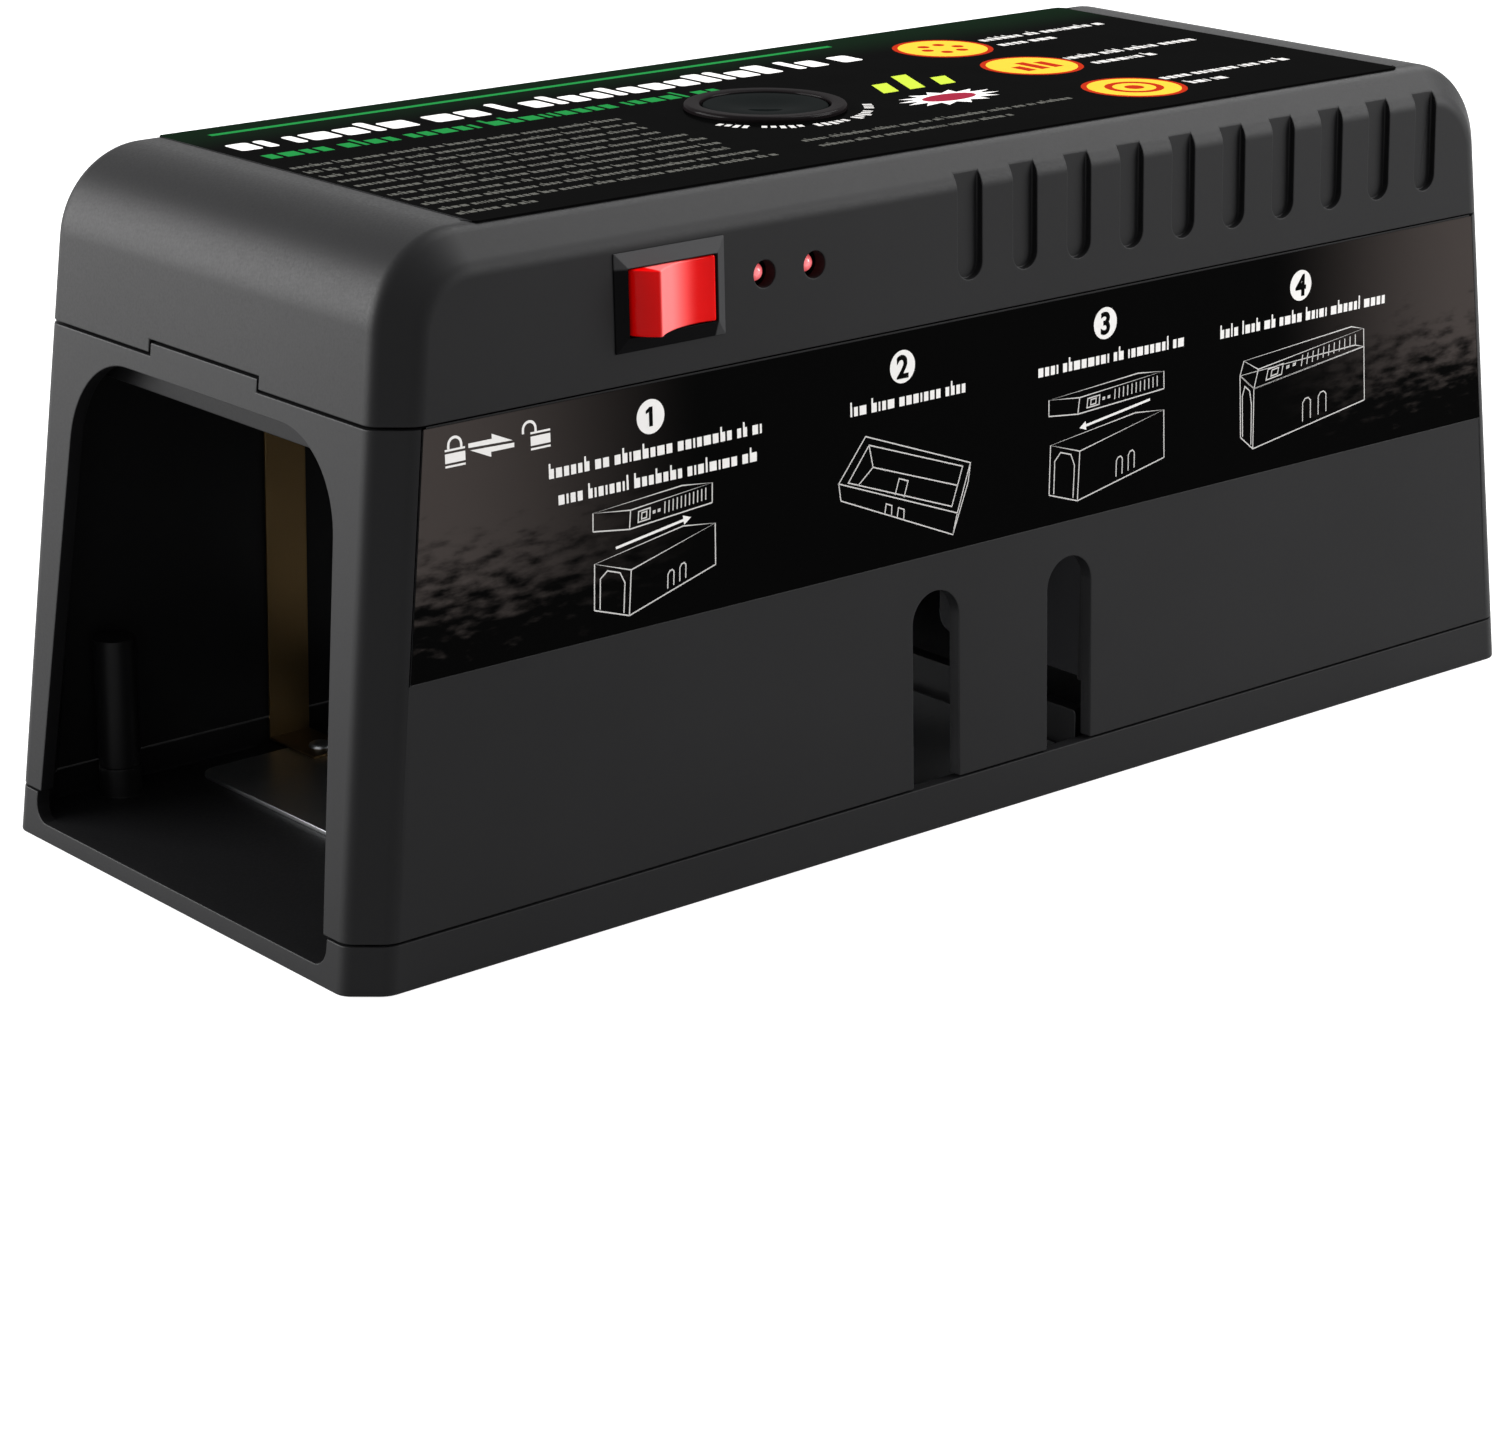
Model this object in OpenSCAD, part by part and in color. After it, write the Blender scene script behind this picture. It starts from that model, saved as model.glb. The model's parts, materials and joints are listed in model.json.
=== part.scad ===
// Tunnel-shaped electronic mouse and rat trap: base, tunnel shell and slide-off cover.
// X runs from the doorway to the bait end, -Y is the side with the switch, Z is up.
// The origin is the middle of the underside. Sizes are in millimetres, angles in degrees.

/* [Case] */
// Length of the case at its foot
case_l = 260; // [250:1:280]
// Width of the case at its foot
case_w = 100.5; // [98:0.5:110]
// Height of the closed case, without the button
case_h = 111; // [104:1:122]
// Lean of both end walls
end_draft = 6.5; // [5.5:0.5:7]
// Lean of both side walls
side_draft = 1.9; // [1.4:0.1:2.2]
// Radius that rounds the cover over the doorway
front_round = 15; // [13:0.5:18]
// Radius that rounds the cover over the bait end
rear_round = 16.5; // [14:0.5:18]
// Bevel of the long edges, measured along the case and down from the top
bevel_x = 5.4; // [4.5:0.1:6]
// Bevel of the long edges, measured across the case
bevel_y = 4.6; // [4:0.1:5.2]
// Wall of the base, the shell and the cover
wall = 2.4; // [2.2:0.1:2.6]
// Height of the seam between base and shell
base_seam_z = 7.8; // [7.4:0.1:9]
// Height of the cover, from its seam to its top
cover_h = 27; // [26.5:0.5:28]
// Open line at the base seam
base_gap = 0.3; // [0.2:0.1:0.4]
// Open line at the cover seam
cover_gap = 0.4; // [0.3:0.1:0.5]
// Half width of the tongue that keys the cover over the doorway
tongue_half = 14.7; // [12:0.1:18]
// Height of that tongue above the seam
tongue_h = 2; // [1.5:0.1:2.5]

/* [Doorway and slots] */
// Width of the end wall left on each side of the doorway, at the base seam
door_jamb = 10; // [9:0.5:14]
// Lean of the doorway's sides
door_lean = 3.85; // [2:0.05:5]
// Height of the end wall left between the doorway and the cover seam
door_header = 3.4; // [3.2:0.1:6]
// Radius of the doorway's upper corners
door_round = 15; // [10:0.5:20]
// How much wider the base is cut than the shell, on each side
sill_step = 1; // [0.5:0.1:1.5]
// Radius where the doorway meets the floor
sill_round = 3; // [2:0.5:3.5]
// Distance of each side slot from the middle of the case
slot_x = 15; // [12:0.5:16]
// Width of a side slot
slot_w = 10; // [8:0.5:11]
// Height of the top of a side slot
slot_top_z = 40.4; // [34:0.1:44]
// Height of the bar behind the doorway's upper edge
lintel_h = 3.3; // [2.5:0.1:5]
// Thickness of that bar along the tunnel
lintel_t = 3; // [2:0.5:4]
// How far the bar's top lies under the doorway's top
lintel_drop = 1.7; // [1:0.1:3]

/* [Floor] */
// Thickness of the floor of the base
floor_t = 3; // [2.5:0.1:3.5]
// Place along the case of the rib between the entry and middle plates
front_rib_x = -50; // [-56:1:-46]
// Place along the case of the rib between the middle and rear plates, under the baffle
rear_rib_x = 25; // [24:1:28]
// Thickness of a floor rib
rib_t = 3; // [2:0.5:3.5]
// Height of the top of the floor ribs
rib_top_z = 10; // [8:0.5:12]
// Gap between the end of a floor rib and the side wall
rib_side_gap = 4.75; // [4:0.25:8]
// Distance of the entry plate from the doorway end of the foot
entry_plate_in = 32; // [26:1:40]
// Gap between the shock plates and the side walls
plate_side_gap = 5.75; // [5:0.25:10]
// Thickness of the shock plates
plate_t = 0.8; // [0.6:0.1:1]
// Corner radius of the shock plates
plate_round = 3; // [1:0.5:5]
// Place along the case of the strip that feeds the entry plate
entry_strip_x = -76; // [-84:1:-68]
// Place along the case of the strip that feeds the middle plate
middle_strip_x = -33; // [-38:1:-28]
// Place along the case of the strip that feeds the rear plate
rear_strip_x = 50; // [42:1:60]
// Height of the baffle's lower edge
baffle_z = 16; // [14:0.5:20]
// How near the baffle's free edge comes to the middle plane
baffle_edge_y = 8; // [4:0.5:14]
// Thickness of the baffle
baffle_t = 2; // [1.6:0.1:2.4]
// Distance of the base screws from the ends of the foot
base_screw_in_x = 18; // [16:0.5:22]
// Distance of the base screws from the sides of the foot
base_screw_in_y = 6.85; // [6.5:0.05:7.2]
// Diameter of the posts that take the base screws
base_post_d = 7; // [6.4:0.1:7.4]
// Height of those posts
base_post_h = 22; // [18:1:30]

/* [Bait cup] */
// Length of the cup along the case
cup_l = 36; // [30:1:38]
// Width of the cup
cup_w = 60; // [50:1:66]
// Height of the cup
cup_h = 22; // [16:1:24]
// Wall of the cup
cup_wall = 1.5; // [1.2:0.1:2]
// Corner radius of the cup
cup_round = 5; // [3:0.5:8]
// Distance of the cup from the bait end of the foot
cup_in = 14; // [13:0.5:20]
// Gap between the rear plate and the cup
cup_gap = 6; // [5:0.5:8]
// Height of the lifting tab above the cup's rim
cup_tab_h = 9; // [6:0.5:11]
// Width of the lifting tab
cup_tab_w = 16; // [12:1:22]

/* [Slide rails] */
// Thickness of the shell's inward flanges
flange_t = 2.4; // [2:0.1:3]
// Reach of the shell's flanges inwards from its side walls
flange_reach = 3.57; // [3.3:0.01:5]
// Thickness of a rail's web
rail_web = 1.8; // [1.4:0.1:2.2]
// Thickness of a rail's foot
rail_foot_t = 2; // [1.6:0.1:2.4]
// How far a rail's foot reaches outwards under the flange
rail_reach = 2.8; // [2.2:0.1:2.9]
// Sliding gap round a rail
slide_gap = 0.4; // [0.25:0.05:0.5]
// Distance of the rails from the doorway end of the foot
rail_start_in = 26; // [22:1:34]
// Thickness of the tray that closes the cover
tray_t = 1.6; // [1.4:0.1:2]
// Gap round the tray's edge
tray_fit = 0.25; // [0.15:0.05:0.4]

/* [Grip grooves] */
// Number of grip grooves on each side
groove_count = 10; // [6:1:10]
// Distance of the last groove from the bait end of the foot
groove_last_in = 28.94; // [28:0.01:34]
// Distance from groove to groove
groove_pitch = 12.04; // [9:0.01:12.1]
// Width of a groove
groove_w = 5.2; // [4:0.1:6]
// Depth of a groove
groove_depth = 1.2; // [0.8:0.1:1.4]
// Height of a groove's lower end above the cover seam
groove_rise = 6; // [4:0.5:10]

/* [Rocker switch] */
// Distance of the switch from the doorway end of the foot
switch_in = 61.6; // [54:0.1:64]
// Height of the switch's middle above the cover seam
switch_rise = 12.6; // [12:0.1:13]
// Width of the switch's rim
switch_rim_w = 21; // [20:0.5:22]
// Height of the switch's rim
switch_rim_h = 15; // [14:0.5:16]
// How far the rim stands off the case
switch_rim_t = 1.1; // [0.8:0.1:1.5]
// Width of the switch's opening
switch_open_w = 16.9; // [16.8:0.1:17]
// Height of the switch's opening
switch_open_h = 10.2; // [10:0.1:10.6]
// Width of the switch's body behind the rim
switch_body_w = 19; // [18.8:0.1:19.4]
// Height of the switch's body behind the rim
switch_body_h = 12.7; // [12.4:0.1:13.2]
// Radius of the rocker's ends about its pivot
rocker_r = 8.5; // [8.3:0.05:8.5]
// Depth of the rocker's pivot under the front of the rim
rocker_pivot_depth = 3; // [2.8:0.1:3.2]
// Angle of the rocker's corners, seen from its pivot
rocker_corner = 37; // [34:1:40]
// Depth of the hollow in the rocker's face
rocker_dip = 1.65; // [1:0.05:2]
// Tilt of the rocker to either side
rocker_tilt = 15; // [12:1:16]
// Tilt of the see-saw contact to either side
seesaw_tilt = 8; // [6:1:9]
// Radius of the rocker's pivot pins
rocker_pin_r = 1.2; // [1:0.05:1.4]

/* [Lamps] */
// Distance of the first lamp from the switch
lamp_offset = 18.6; // [17:0.1:21]
// Distance between the two lamps
lamp_pitch = 10; // [8:0.1:12]
// Height of the lamps above the cover seam
lamp_rise = 13; // [12.5:0.1:14]
// Diameter of a lamp's hole
lamp_hole_d = 4.2; // [4:0.1:5]
// Diameter of a lamp
lamp_d = 3; // [2.8:0.1:3.2]
// How deep a lamp's tip sits in its hole
lamp_sink = 1.4; // [1:0.1:2]

/* [Shock button] */
// Place of the button along the circuit board
button_on_board = 41.5; // [38:0.5:44]
// Place of the button across the case
button_y = -1; // [-4:0.5:2]
// Outer diameter of the collar round the button
collar_d = 27; // [25.5:0.5:30]
// Height of the collar above the label
collar_h = 0.9; // [0.6:0.1:1.6]
// Diameter of the hole in the cover for the collar
collar_hole_d = 24; // [23.8:0.1:25]
// Diameter of the button
button_d = 21; // [19:0.5:21.2]
// Gap round the button
button_gap = 0.3; // [0.2:0.05:0.4]
// Travel of the button
button_travel = 2; // [1.5:0.1:2.2]
// Wire of the button's spring
button_spring_wire = 0.6; // [0.5:0.05:0.8]
// Mean diameter of the button's spring
button_spring_d = 11; // [10.5:0.1:12]
// Turns of the button's spring
button_spring_turns = 6; // [4:1:8]

/* [Batteries] */
// Diameter of a cell
cell_d = 14.3; // [14:0.1:14.5]
// Length of a cell with its raised end
cell_l = 50.5; // [49.5:0.1:50.5]
// Distance from cell to cell
cell_pitch = 14.8; // [14.7:0.1:15]
// Room left for a battery spring
cell_spring_l = 6.2; // [5:0.1:7]
// Distance of the battery box from the bait end of the foot
box_in = 34.5; // [33:0.1:34.8]
// Wall of the battery box
box_wall = 1.5; // [1.2:0.1:1.8]
// Thickness of the battery contacts
contact_t = 0.4; // [0.3:0.05:0.5]
// Turns of a battery spring
cell_spring_turns = 4; // [3:1:5]
// Radius of the battery door's hinge pins
door_pin_r = 0.8; // [0.7:0.05:0.9]

/* [Electronics] */
// Length of the circuit board
board_l = 74; // [70:1:76]
// Width of the circuit board
board_w = 66; // [64:1:66]
// Thickness of the circuit board
board_t = 1.6; // [1.2:0.1:1.8]
// Distance between the circuit board and the battery box
board_gap = 12.5; // [10.5:0.5:14.5]
// Height of the posts that carry the board
board_post_h = 6; // [5:0.5:6.5]
// Diameter of a wire
wire_d = 1.4; // [1:0.1:1.6]

/* [Labels] */
// Distance of the top label from the doorway end of the foot
top_label_front = 29.7; // [28:0.1:34]
// Distance of the top label from the bait end of the foot
top_label_rear = 31.2; // [30:0.1:36]
// Height of the side label's lower edge
side_label_z = 46.6; // [44:0.1:52]
// Margin between the side label and the case's bevels
side_label_margin = 1; // [0.5:0.1:2]
// Thickness of a label
label_t = 0.25; // [0.2:0.05:0.3]
// Depth of the recess that a label lies in
label_recess = 0.15; // [0.1:0.05:0.15]

/* [Hidden] */

$fn = 48;
arc_steps = 10;      // flats in each large rounded corner
small_steps = 6;     // flats in each small rounded corner
cut = 1;             // how far a cutter runs past the face that it opens
touch = 0.15;        // gap between neighbouring pieces that only lie side by side
pin_gap = 0.05;      // running gap round a pin or a screw

// Levels of the three case parts
cover_seam_z = case_h - cover_h;
base_z1 = base_seam_z - base_gap / 2;
shell_z0 = base_seam_z + base_gap / 2;
shell_z1 = cover_seam_z - cover_gap / 2;
cover_z0 = cover_seam_z + cover_gap / 2;
tray_z0 = cover_z0 + touch + pin_gap;
tray_z1 = tray_z0 + tray_t;
ceiling_z = case_h - wall;

// Doorway, and what is placed from the ends and the sides of the foot
door_foot_half = side_y(base_seam_z) - door_jamb;
door_top_z = cover_seam_z - door_header;
base_screw_x = case_l / 2 - base_screw_in_x;
base_screw_y = case_w / 2 - base_screw_in_y;
switch_x = switch_in - case_l / 2;
lamp_x = switch_x + lamp_offset;
groove_last_x = case_l / 2 - groove_last_in;
top_label_x0 = top_label_front - case_l / 2;
top_label_x1 = case_l / 2 - top_label_rear;

// Rails of the cover and the flanges that they hook under
flange_in = side_y(shell_z1, wall) - flange_reach;
rail_start_x = rail_start_in - case_l / 2;
rail_in = flange_in - slide_gap - rail_web;
rail_out = flange_in - slide_gap + rail_reach;
rail_z1 = shell_z1 - flange_t - slide_gap;
rail_z0 = rail_z1 - rail_foot_t;
rail_end_x = end_x(rail_z0, wall + bevel_x) - slide_gap;

// Shock plates, the cup behind them and the strips that bring their current
cup_x0 = case_l / 2 - cup_in - cup_l;
entry_plate_x = entry_plate_in - case_l / 2;
rear_plate_x = cup_x0 - cup_gap;
plate_half = side_y(floor_t, wall) - plate_side_gap;
rib_half = side_y(floor_t, wall) - rib_side_gap;
plate_margin = 1.5;
plate_z1 = floor_t + plate_t;
strip_w = 8;
strip_t = 0.5;
strip_foot = 8;
pad_drop = 0.1;
middle_plate_x0 = front_rib_x + rib_t / 2 + plate_margin;
middle_plate_x1 = rear_rib_x - rib_t / 2 - plate_margin;
rear_plate_x0 = rear_rib_x + rib_t / 2 + plate_margin;
entry_plate_x1 = front_rib_x - rib_t / 2 - plate_margin;
strip_places = [entry_strip_x, middle_strip_x, rear_strip_x];
rivet_d = 4;
rivet_h = 0.9;
rivet_inset = 7;

// Screws: [thread diameter, length, head diameter, head height]
base_screw = [3, 12, 5.6, 2];
tray_screw = [3, 10, 5.2, 2];
board_screw = [2.6, 6, 4.6, 1.6];
head_gap = 0.4;
tray_screw_front = 32;
tray_screw_rear = 24;
tray_screw_xs = [tray_screw_front - case_l / 2, case_l / 2 - tray_screw_rear];
tray_screw_y = 33.5;
tray_post_d = 8;
tray_boss_h = 2.4;

// Switch, measured from the pivot of its rocker
rocker_pivot_z = switch_rim_t - rocker_pivot_depth;
rocker_play = 0.15;
rocker_t = switch_open_h - 2 * rocker_play;
rocker_bottom = -20;
seesaw_drop = 7.6;
switch_floor_drop = 8.9;
switch_floor_t = 1.5;
tab_w = 4.8;
tab_t = 0.8;
tab_l = 7.2;
contact_place = 5.4;

// Battery box and its door
cell_z = tray_z1 + 0.2 + cell_d / 2;
box_inner_half = 2 * cell_pitch + 0.4;
cell_play = 0.5;
box_x1 = case_l / 2 - box_in;
box_in_x1 = box_x1 - box_wall;
box_in_x0 = box_in_x1 - 2 * contact_t - cell_l - cell_spring_l - cell_play;
box_x = box_in_x0 - box_wall;
box_top_z = cell_z + cell_d / 2 + 0.3;
door_hinge_x = box_x - 4.5;
door_hinge_z = tray_z0 + 1.2;
door_knuckle_r = 1.4;
door_lug_r = 1.8;
door_half = box_inner_half + 1;
door_knuckle_half = door_half - 4;
door_end_x = box_x1 + 2.5;
door_gap = 0.3;
latch_half = 6;
latch_t = 1;
latch_h = 4;
door_grip_pitch = 3;
door_grip_w = 1.2;
door_grip_l = 10;
cell_spring_d = 6.4;
cell_spring_wire = 0.6;

// Board and what stands on it
board_x = box_x - board_gap - board_l;
button_x = board_x + button_on_board;
board_z0 = tray_z1 + board_post_h;
board_z1 = board_z0 + board_t;
board_screw_in_x = 14;
board_screw_in_y = 4;
bobbin_end = [18, 15, 1.5];
winding = [13, 13, 9];
film_capacitor = [18, 7, 12];
can_d = 8;
can_h = 11.5;
chip = [19, 6.4, 3.4];
chip_lift = 0.6;
chip_pins = 8;
chip_pin_pitch = 2.3;
tact_w = 6;
tact_h = 3.5;
tact_pin_d = 3.4;
tact_top_z = board_z1 + 6.4;
button_drop = 0.3;
button_top_z = case_h - label_recess + label_t + collar_h - button_drop;
button_plate_t = 2;
button_edge = 0.5;
button_skirt = 3;
button_wall = 1.4;
button_stem_d = 4;
button_rest_gap = 0.05;
collar_depth = 7;
collar_edge = 0.4;
button_under_z = button_top_z - button_plate_t;

function end_x(z, inset = 0) = case_l / 2 - inset / cos(end_draft) - z * tan(end_draft);
function side_y(z, inset = 0) = case_w / 2 - inset - z * tan(side_draft);
function up(z) = z / cos(side_draft);
function arc(c, r, a0, a1, n = arc_steps) =
    [for (i = [0:n]) let (a = a0 + (a1 - a0) * i / n) [c[0] + r * cos(a), c[1] + r * sin(a)]];
function rounded_rect(x0, y0, x1, y1, r) = concat(
    arc([x1 - r, y0 + r], r, -90, 0, small_steps), arc([x1 - r, y1 - r], r, 0, 90, small_steps),
    arc([x0 + r, y1 - r], r, 90, 180, small_steps), arc([x0 + r, y0 + r], r, 180, 270, small_steps));

// Outline of the case seen from its side, moved inwards by inset
function profile(inset) =
    let (fz = case_h - front_round, rz = case_h - rear_round,
         front = [-(end_x(fz) - front_round / cos(end_draft)), fz],
         rear = [end_x(rz) - rear_round / cos(end_draft), rz])
    concat([[-end_x(0, inset), 0]],
           arc(front, max(0.5, front_round - inset), 180 - end_draft, 90),
           arc(rear, max(0.5, rear_round - inset), 90, end_draft),
           [[end_x(0, inset), 0]]);
function case_ring(in_profile, in_side, side) =
    [for (p = profile(in_profile)) [p[0], side * side_y(p[1], in_side), p[1]]];

// Skin over a row of rings that all have the same number of points
module loft(rings) {
    n = len(rings[0]);
    m = len(rings);
    polyhedron(points = [for (r = rings, p = r) p],
        faces = concat([[for (i = [0:n - 1]) i]], [[for (i = [n - 1:-1:0]) (m - 1) * n + i]],
            [for (k = [0:m - 2], i = [0:n - 1], t = [0, 1])
                let (a = k * n + i, b = k * n + (i + 1) % n)
                t == 0 ? [a, a + n, b] : [b, a + n, b + n]]));
}

// Whole case, moved inwards by inset: leaning sides, rounded ends, bevelled long edges
module case_solid(inset = 0) {
    loft([case_ring(inset + bevel_x, inset, -1), case_ring(inset, inset + bevel_y, -1),
          case_ring(inset, inset + bevel_y, 1), case_ring(inset + bevel_x, inset, 1)]);
}
module slab(z0, z1) {
    translate([-case_l, -case_w, z0]) cube([2 * case_l, 2 * case_w, z1 - z0]);
}
module case_slab(z0, z1, inset = 0) {
    intersection() {
        case_solid(inset);
        slab(z0, z1);
    }
}
module box(x0, x1, y0, y1, z0, z1) {
    translate([x0, y0, z0]) cube([x1 - x0, y1 - y0, z1 - z0]);
}
module both_sides() {
    children();
    mirror([0, 1, 0]) children();
}
module both_ends() {
    children();
    mirror([1, 0, 0]) children();
}
// Frame on the switch side: x along the case, y up the leaning wall, z out of it
module on_side() {
    translate([0, -case_w / 2, 0]) rotate([90 - side_draft, 0, 0]) children();
}
// An outline drawn as [y, z], made solid from x0 to x1
module along_x(x0, x1, points) {
    translate([x0, 0, 0]) rotate([90, 0, 90]) linear_extrude(x1 - x0) polygon(points);
}
// An outline drawn as [x, z], made solid about the plane y = 0
module across_y(t, points) {
    rotate([90, 0, 0]) linear_extrude(t, center = true) polygon(points);
}
module plate_at(x0, x1, half, z, t, r) {
    translate([0, 0, z]) linear_extrude(t) polygon(rounded_rect(x0, -half, x1, half, r));
}
// Screw with a domed head: its head's underside is at z = 0 and its thread runs up
module screw(s) {
    cylinder(d = s[0], h = s[1]);
    translate([0, 0, -s[3]]) difference() {
        intersection() {
            cylinder(d = s[2], h = s[3]);
            translate([0, 0, s[2]]) sphere(r = s[2] * 1.04);
        }
        for (turn = [0, 90]) rotate(turn) translate([-s[2] * 0.3, -0.3, -cut])
            cube([s[2] * 0.6, 0.6, cut + s[3] / 2]);
    }
}

// Round wire through a list of points, with one ring of sides at each point
function unit(v) = v / norm(v);
function tangent(p, i) = unit(p[min(i + 1, len(p) - 1)] - p[max(i - 1, 0)]);
function ring_at(p, i, r, sides, ref) =
    let (t = tangent(p, i), a = unit(cross(ref, t)), b = cross(t, a))
    [for (k = [0:sides - 1]) let (w = 360 * k / sides) p[i] + r * (a * cos(w) - b * sin(w))];
module wire(points, d, ref = [0, 0, 1], sides = 6) {
    loft([for (i = [0:len(points) - 1]) ring_at(points, i, d / 2, sides, ref)]);
}
// Coil spring that stands up from z = 0
module coil(mean_d, wire_d, h, turns, steps = 10) {
    n = turns * steps;
    points = [for (i = [0:n]) [mean_d / 2 * cos(360 * i / steps), mean_d / 2 * sin(360 * i / steps),
        wire_d / 2 + (h - wire_d) * i / n]];
    wire(points, wire_d, sides = 6);
}

// ---- Base ----
function doorway(grow, z0) =
    let (foot = door_foot_half + grow, half0 = foot + (base_seam_z - z0) * tan(door_lean),
         cz = door_top_z - door_round,
         cy = foot - (cz - base_seam_z) * tan(door_lean) - door_round / cos(door_lean))
    concat([[half0, z0]], arc([cy, cz], door_round, door_lean, 90),
           arc([-cy, cz], door_round, 90, 180 - door_lean), [[-half0, z0]]);
function sill() =
    let (half = door_foot_half + sill_step, r = sill_round, z = floor_t)
    concat(arc([half - r, z + r], r, -90, 0, small_steps), [[half, base_seam_z + cut]],
           [[-half, base_seam_z + cut]], arc([r - half, z + r], r, 180, 270, small_steps));

module base_plate() {
    boss_z = shell_z0;
    color("#2b2b2b") difference() {
        union() {
            difference() {
                case_slab(0, base_z1);
                case_slab(floor_t, case_h, wall);
            }
            for (x = [front_rib_x, rear_rib_x])
                along_x(x - rib_t / 2, x + rib_t / 2,
                    rounded_rect(-rib_half, floor_t - 1, rib_half, rib_top_z, 1));
            both_ends() both_sides() intersection() {
                translate([base_screw_x, base_screw_y, floor_t - 1])
                    cylinder(d = base_post_d, h = boss_z - floor_t + 1);
                case_slab(0, case_h, wall / 2);
            }
            box(rear_plate_x + 2, rear_plate_x + 3.5, -cup_w / 2, cup_w / 2, floor_t - 1, floor_t + 3);
        }
        along_x(-case_l, touch - end_x(0, wall + 4), sill());
        both_ends() both_sides() translate([base_screw_x, base_screw_y, -cut]) {
            cylinder(d = base_screw[0] + 2 * pin_gap, h = boss_z + 2 * cut);
            cylinder(d = base_screw[2] + head_gap, h = base_screw[3] + head_gap + cut);
        }
    }
}
module base_screws() {
    color("#8a8a8a") both_ends() both_sides()
        translate([base_screw_x, base_screw_y, base_screw[3] + head_gap]) screw(base_screw);
}

// ---- Tunnel shell ----
module flange() {
    intersection() {
        case_slab(shell_z1 - flange_t, shell_z1, wall / 2);
        box(-case_l / 2, case_l / 2, flange_in, case_w, 0, case_h);
    }
}
module rail_notch() {
    box(case_l / 2 - 25, case_l / 2, rail_in - slide_gap, rail_out + slide_gap,
        rail_z0 - slide_gap, shell_z1 + cut);
}
module side_slot() {
    on_side() for (x = [-slot_x, slot_x]) translate([x, 0, -wall - 2]) {
        translate([-slot_w / 2, 0, 0]) cube([slot_w, up(slot_top_z) - slot_w / 2, wall + 4]);
        translate([0, up(slot_top_z) - slot_w / 2, 0]) cylinder(d = slot_w, h = wall + 4);
    }
}
// Bar across the tunnel just behind the doorway's upper edge, on two short brackets
module lintel() {
    x0 = -end_x(door_top_z, wall) + 3;
    z1 = door_top_z - lintel_drop;
    bar_half = rail_in - 0.8;
    box(x0, x0 + lintel_t, -bar_half, bar_half, z1 - lintel_h, z1);
    both_sides() box(x0 - 5, x0 + lintel_t, bar_half - 1.4, bar_half, z1 - lintel_h, z1);
}
// Two ribs on the side wall that hold the edge of the baffle
module baffle_groove() {
    for (s = [-1, 1]) translate([rear_rib_x + s * (baffle_t / 2 + touch + 0.6), 0, 0])
        box(-0.6, 0.6, -case_w, -side_y(rail_z0, wall) + 1.6, baffle_z, rail_z0 - 1);
}
module body_shell() {
    color("#2b2b2b") difference() {
        union() {
            difference() {
                case_slab(shell_z0, cover_seam_z + tongue_h - cover_gap / 2);
                case_slab(0, case_h, wall);
                difference() {
                    slab(shell_z1, case_h);
                    box(-case_l, 0, -tongue_half + cover_gap / 2, tongue_half - cover_gap / 2, 0, case_h);
                }
            }
            both_sides() flange();
            intersection() {
                union() {
                    both_ends() both_sides() translate([base_screw_x, base_screw_y, shell_z0])
                        cylinder(d = base_post_d, h = base_post_h);
                    lintel();
                    baffle_groove();
                }
                case_slab(0, case_h, wall / 2);
            }
        }
        along_x(-case_l / 2, -end_x(door_top_z, wall) + 0.5, doorway(0, 0));
        both_sides() side_slot();
        both_sides() rail_notch();
        both_ends() both_sides() translate([base_screw_x, base_screw_y, shell_z0 - cut])
            cylinder(d = base_screw[0] + 2 * pin_gap, h = base_screw[1] + cut);
        for (x = strip_places) {
            box(x - strip_w / 2 - touch, x + strip_w / 2 + touch, strip_y(shell_z1) - strip_t - touch,
                side_y(shell_z1, wall), 0, case_h);
            box(x - strip_w / 2 - touch, x + strip_w / 2 + touch, flange_in - cut, strip_y(shell_z1),
                shell_z1 - pad_drop - strip_t - touch, case_h);
        }
        label_recess_cut();
    }
}
module rear_baffle() {
    z1 = rail_z0 - 1;
    r = 3;
    edge = -baffle_edge_y;
    color("#2f2f2f") along_x(rear_rib_x - baffle_t / 2, rear_rib_x + baffle_t / 2,
        concat(arc([edge - r, baffle_z + r], r, -90, 0, small_steps),
               arc([edge - r, z1 - r], r, 0, 90, small_steps),
               [[-side_y(z1, wall), z1], [-side_y(baffle_z, wall), baffle_z]]));
}

// ---- Shock plates ----
module entry_plate() {
    color("#b9bcbe") plate_at(entry_plate_x, entry_plate_x1, plate_half, floor_t, plate_t, plate_round);
}
module middle_plate() {
    color("#b9bcbe") plate_at(middle_plate_x0, middle_plate_x1, plate_half, floor_t, plate_t, plate_round);
}
module rear_plate() {
    color("#b9bcbe") plate_at(rear_plate_x0, rear_plate_x, plate_half, floor_t, plate_t, plate_round);
}
// Strips of spring sheet that climb the far wall from each plate to a pad on the flange
function strip_y(z) = side_y(z, wall) - touch;
module contact_strips() {
    z0 = plate_z1;
    z1 = shell_z1 - pad_drop;
    toe = plate_half - strip_foot;
    color("#c4b07a") for (x = strip_places)
        along_x(x - strip_w / 2, x + strip_w / 2,
            [[toe, z0], [strip_y(z0), z0], [strip_y(z1), z1], [flange_in + 0.3, z1],
             [flange_in + 0.3, z1 - strip_t], [strip_y(z1) - strip_t, z1 - strip_t],
             [strip_y(z0) - strip_t, z0 + strip_t], [toe, z0 + strip_t]]);
}
module rivet(z) {
    translate([0, 0, z]) intersection() {
        cylinder(d = rivet_d, h = rivet_h);
        translate([0, 0, rivet_h - rivet_d]) sphere(r = rivet_d);
    }
}
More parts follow.
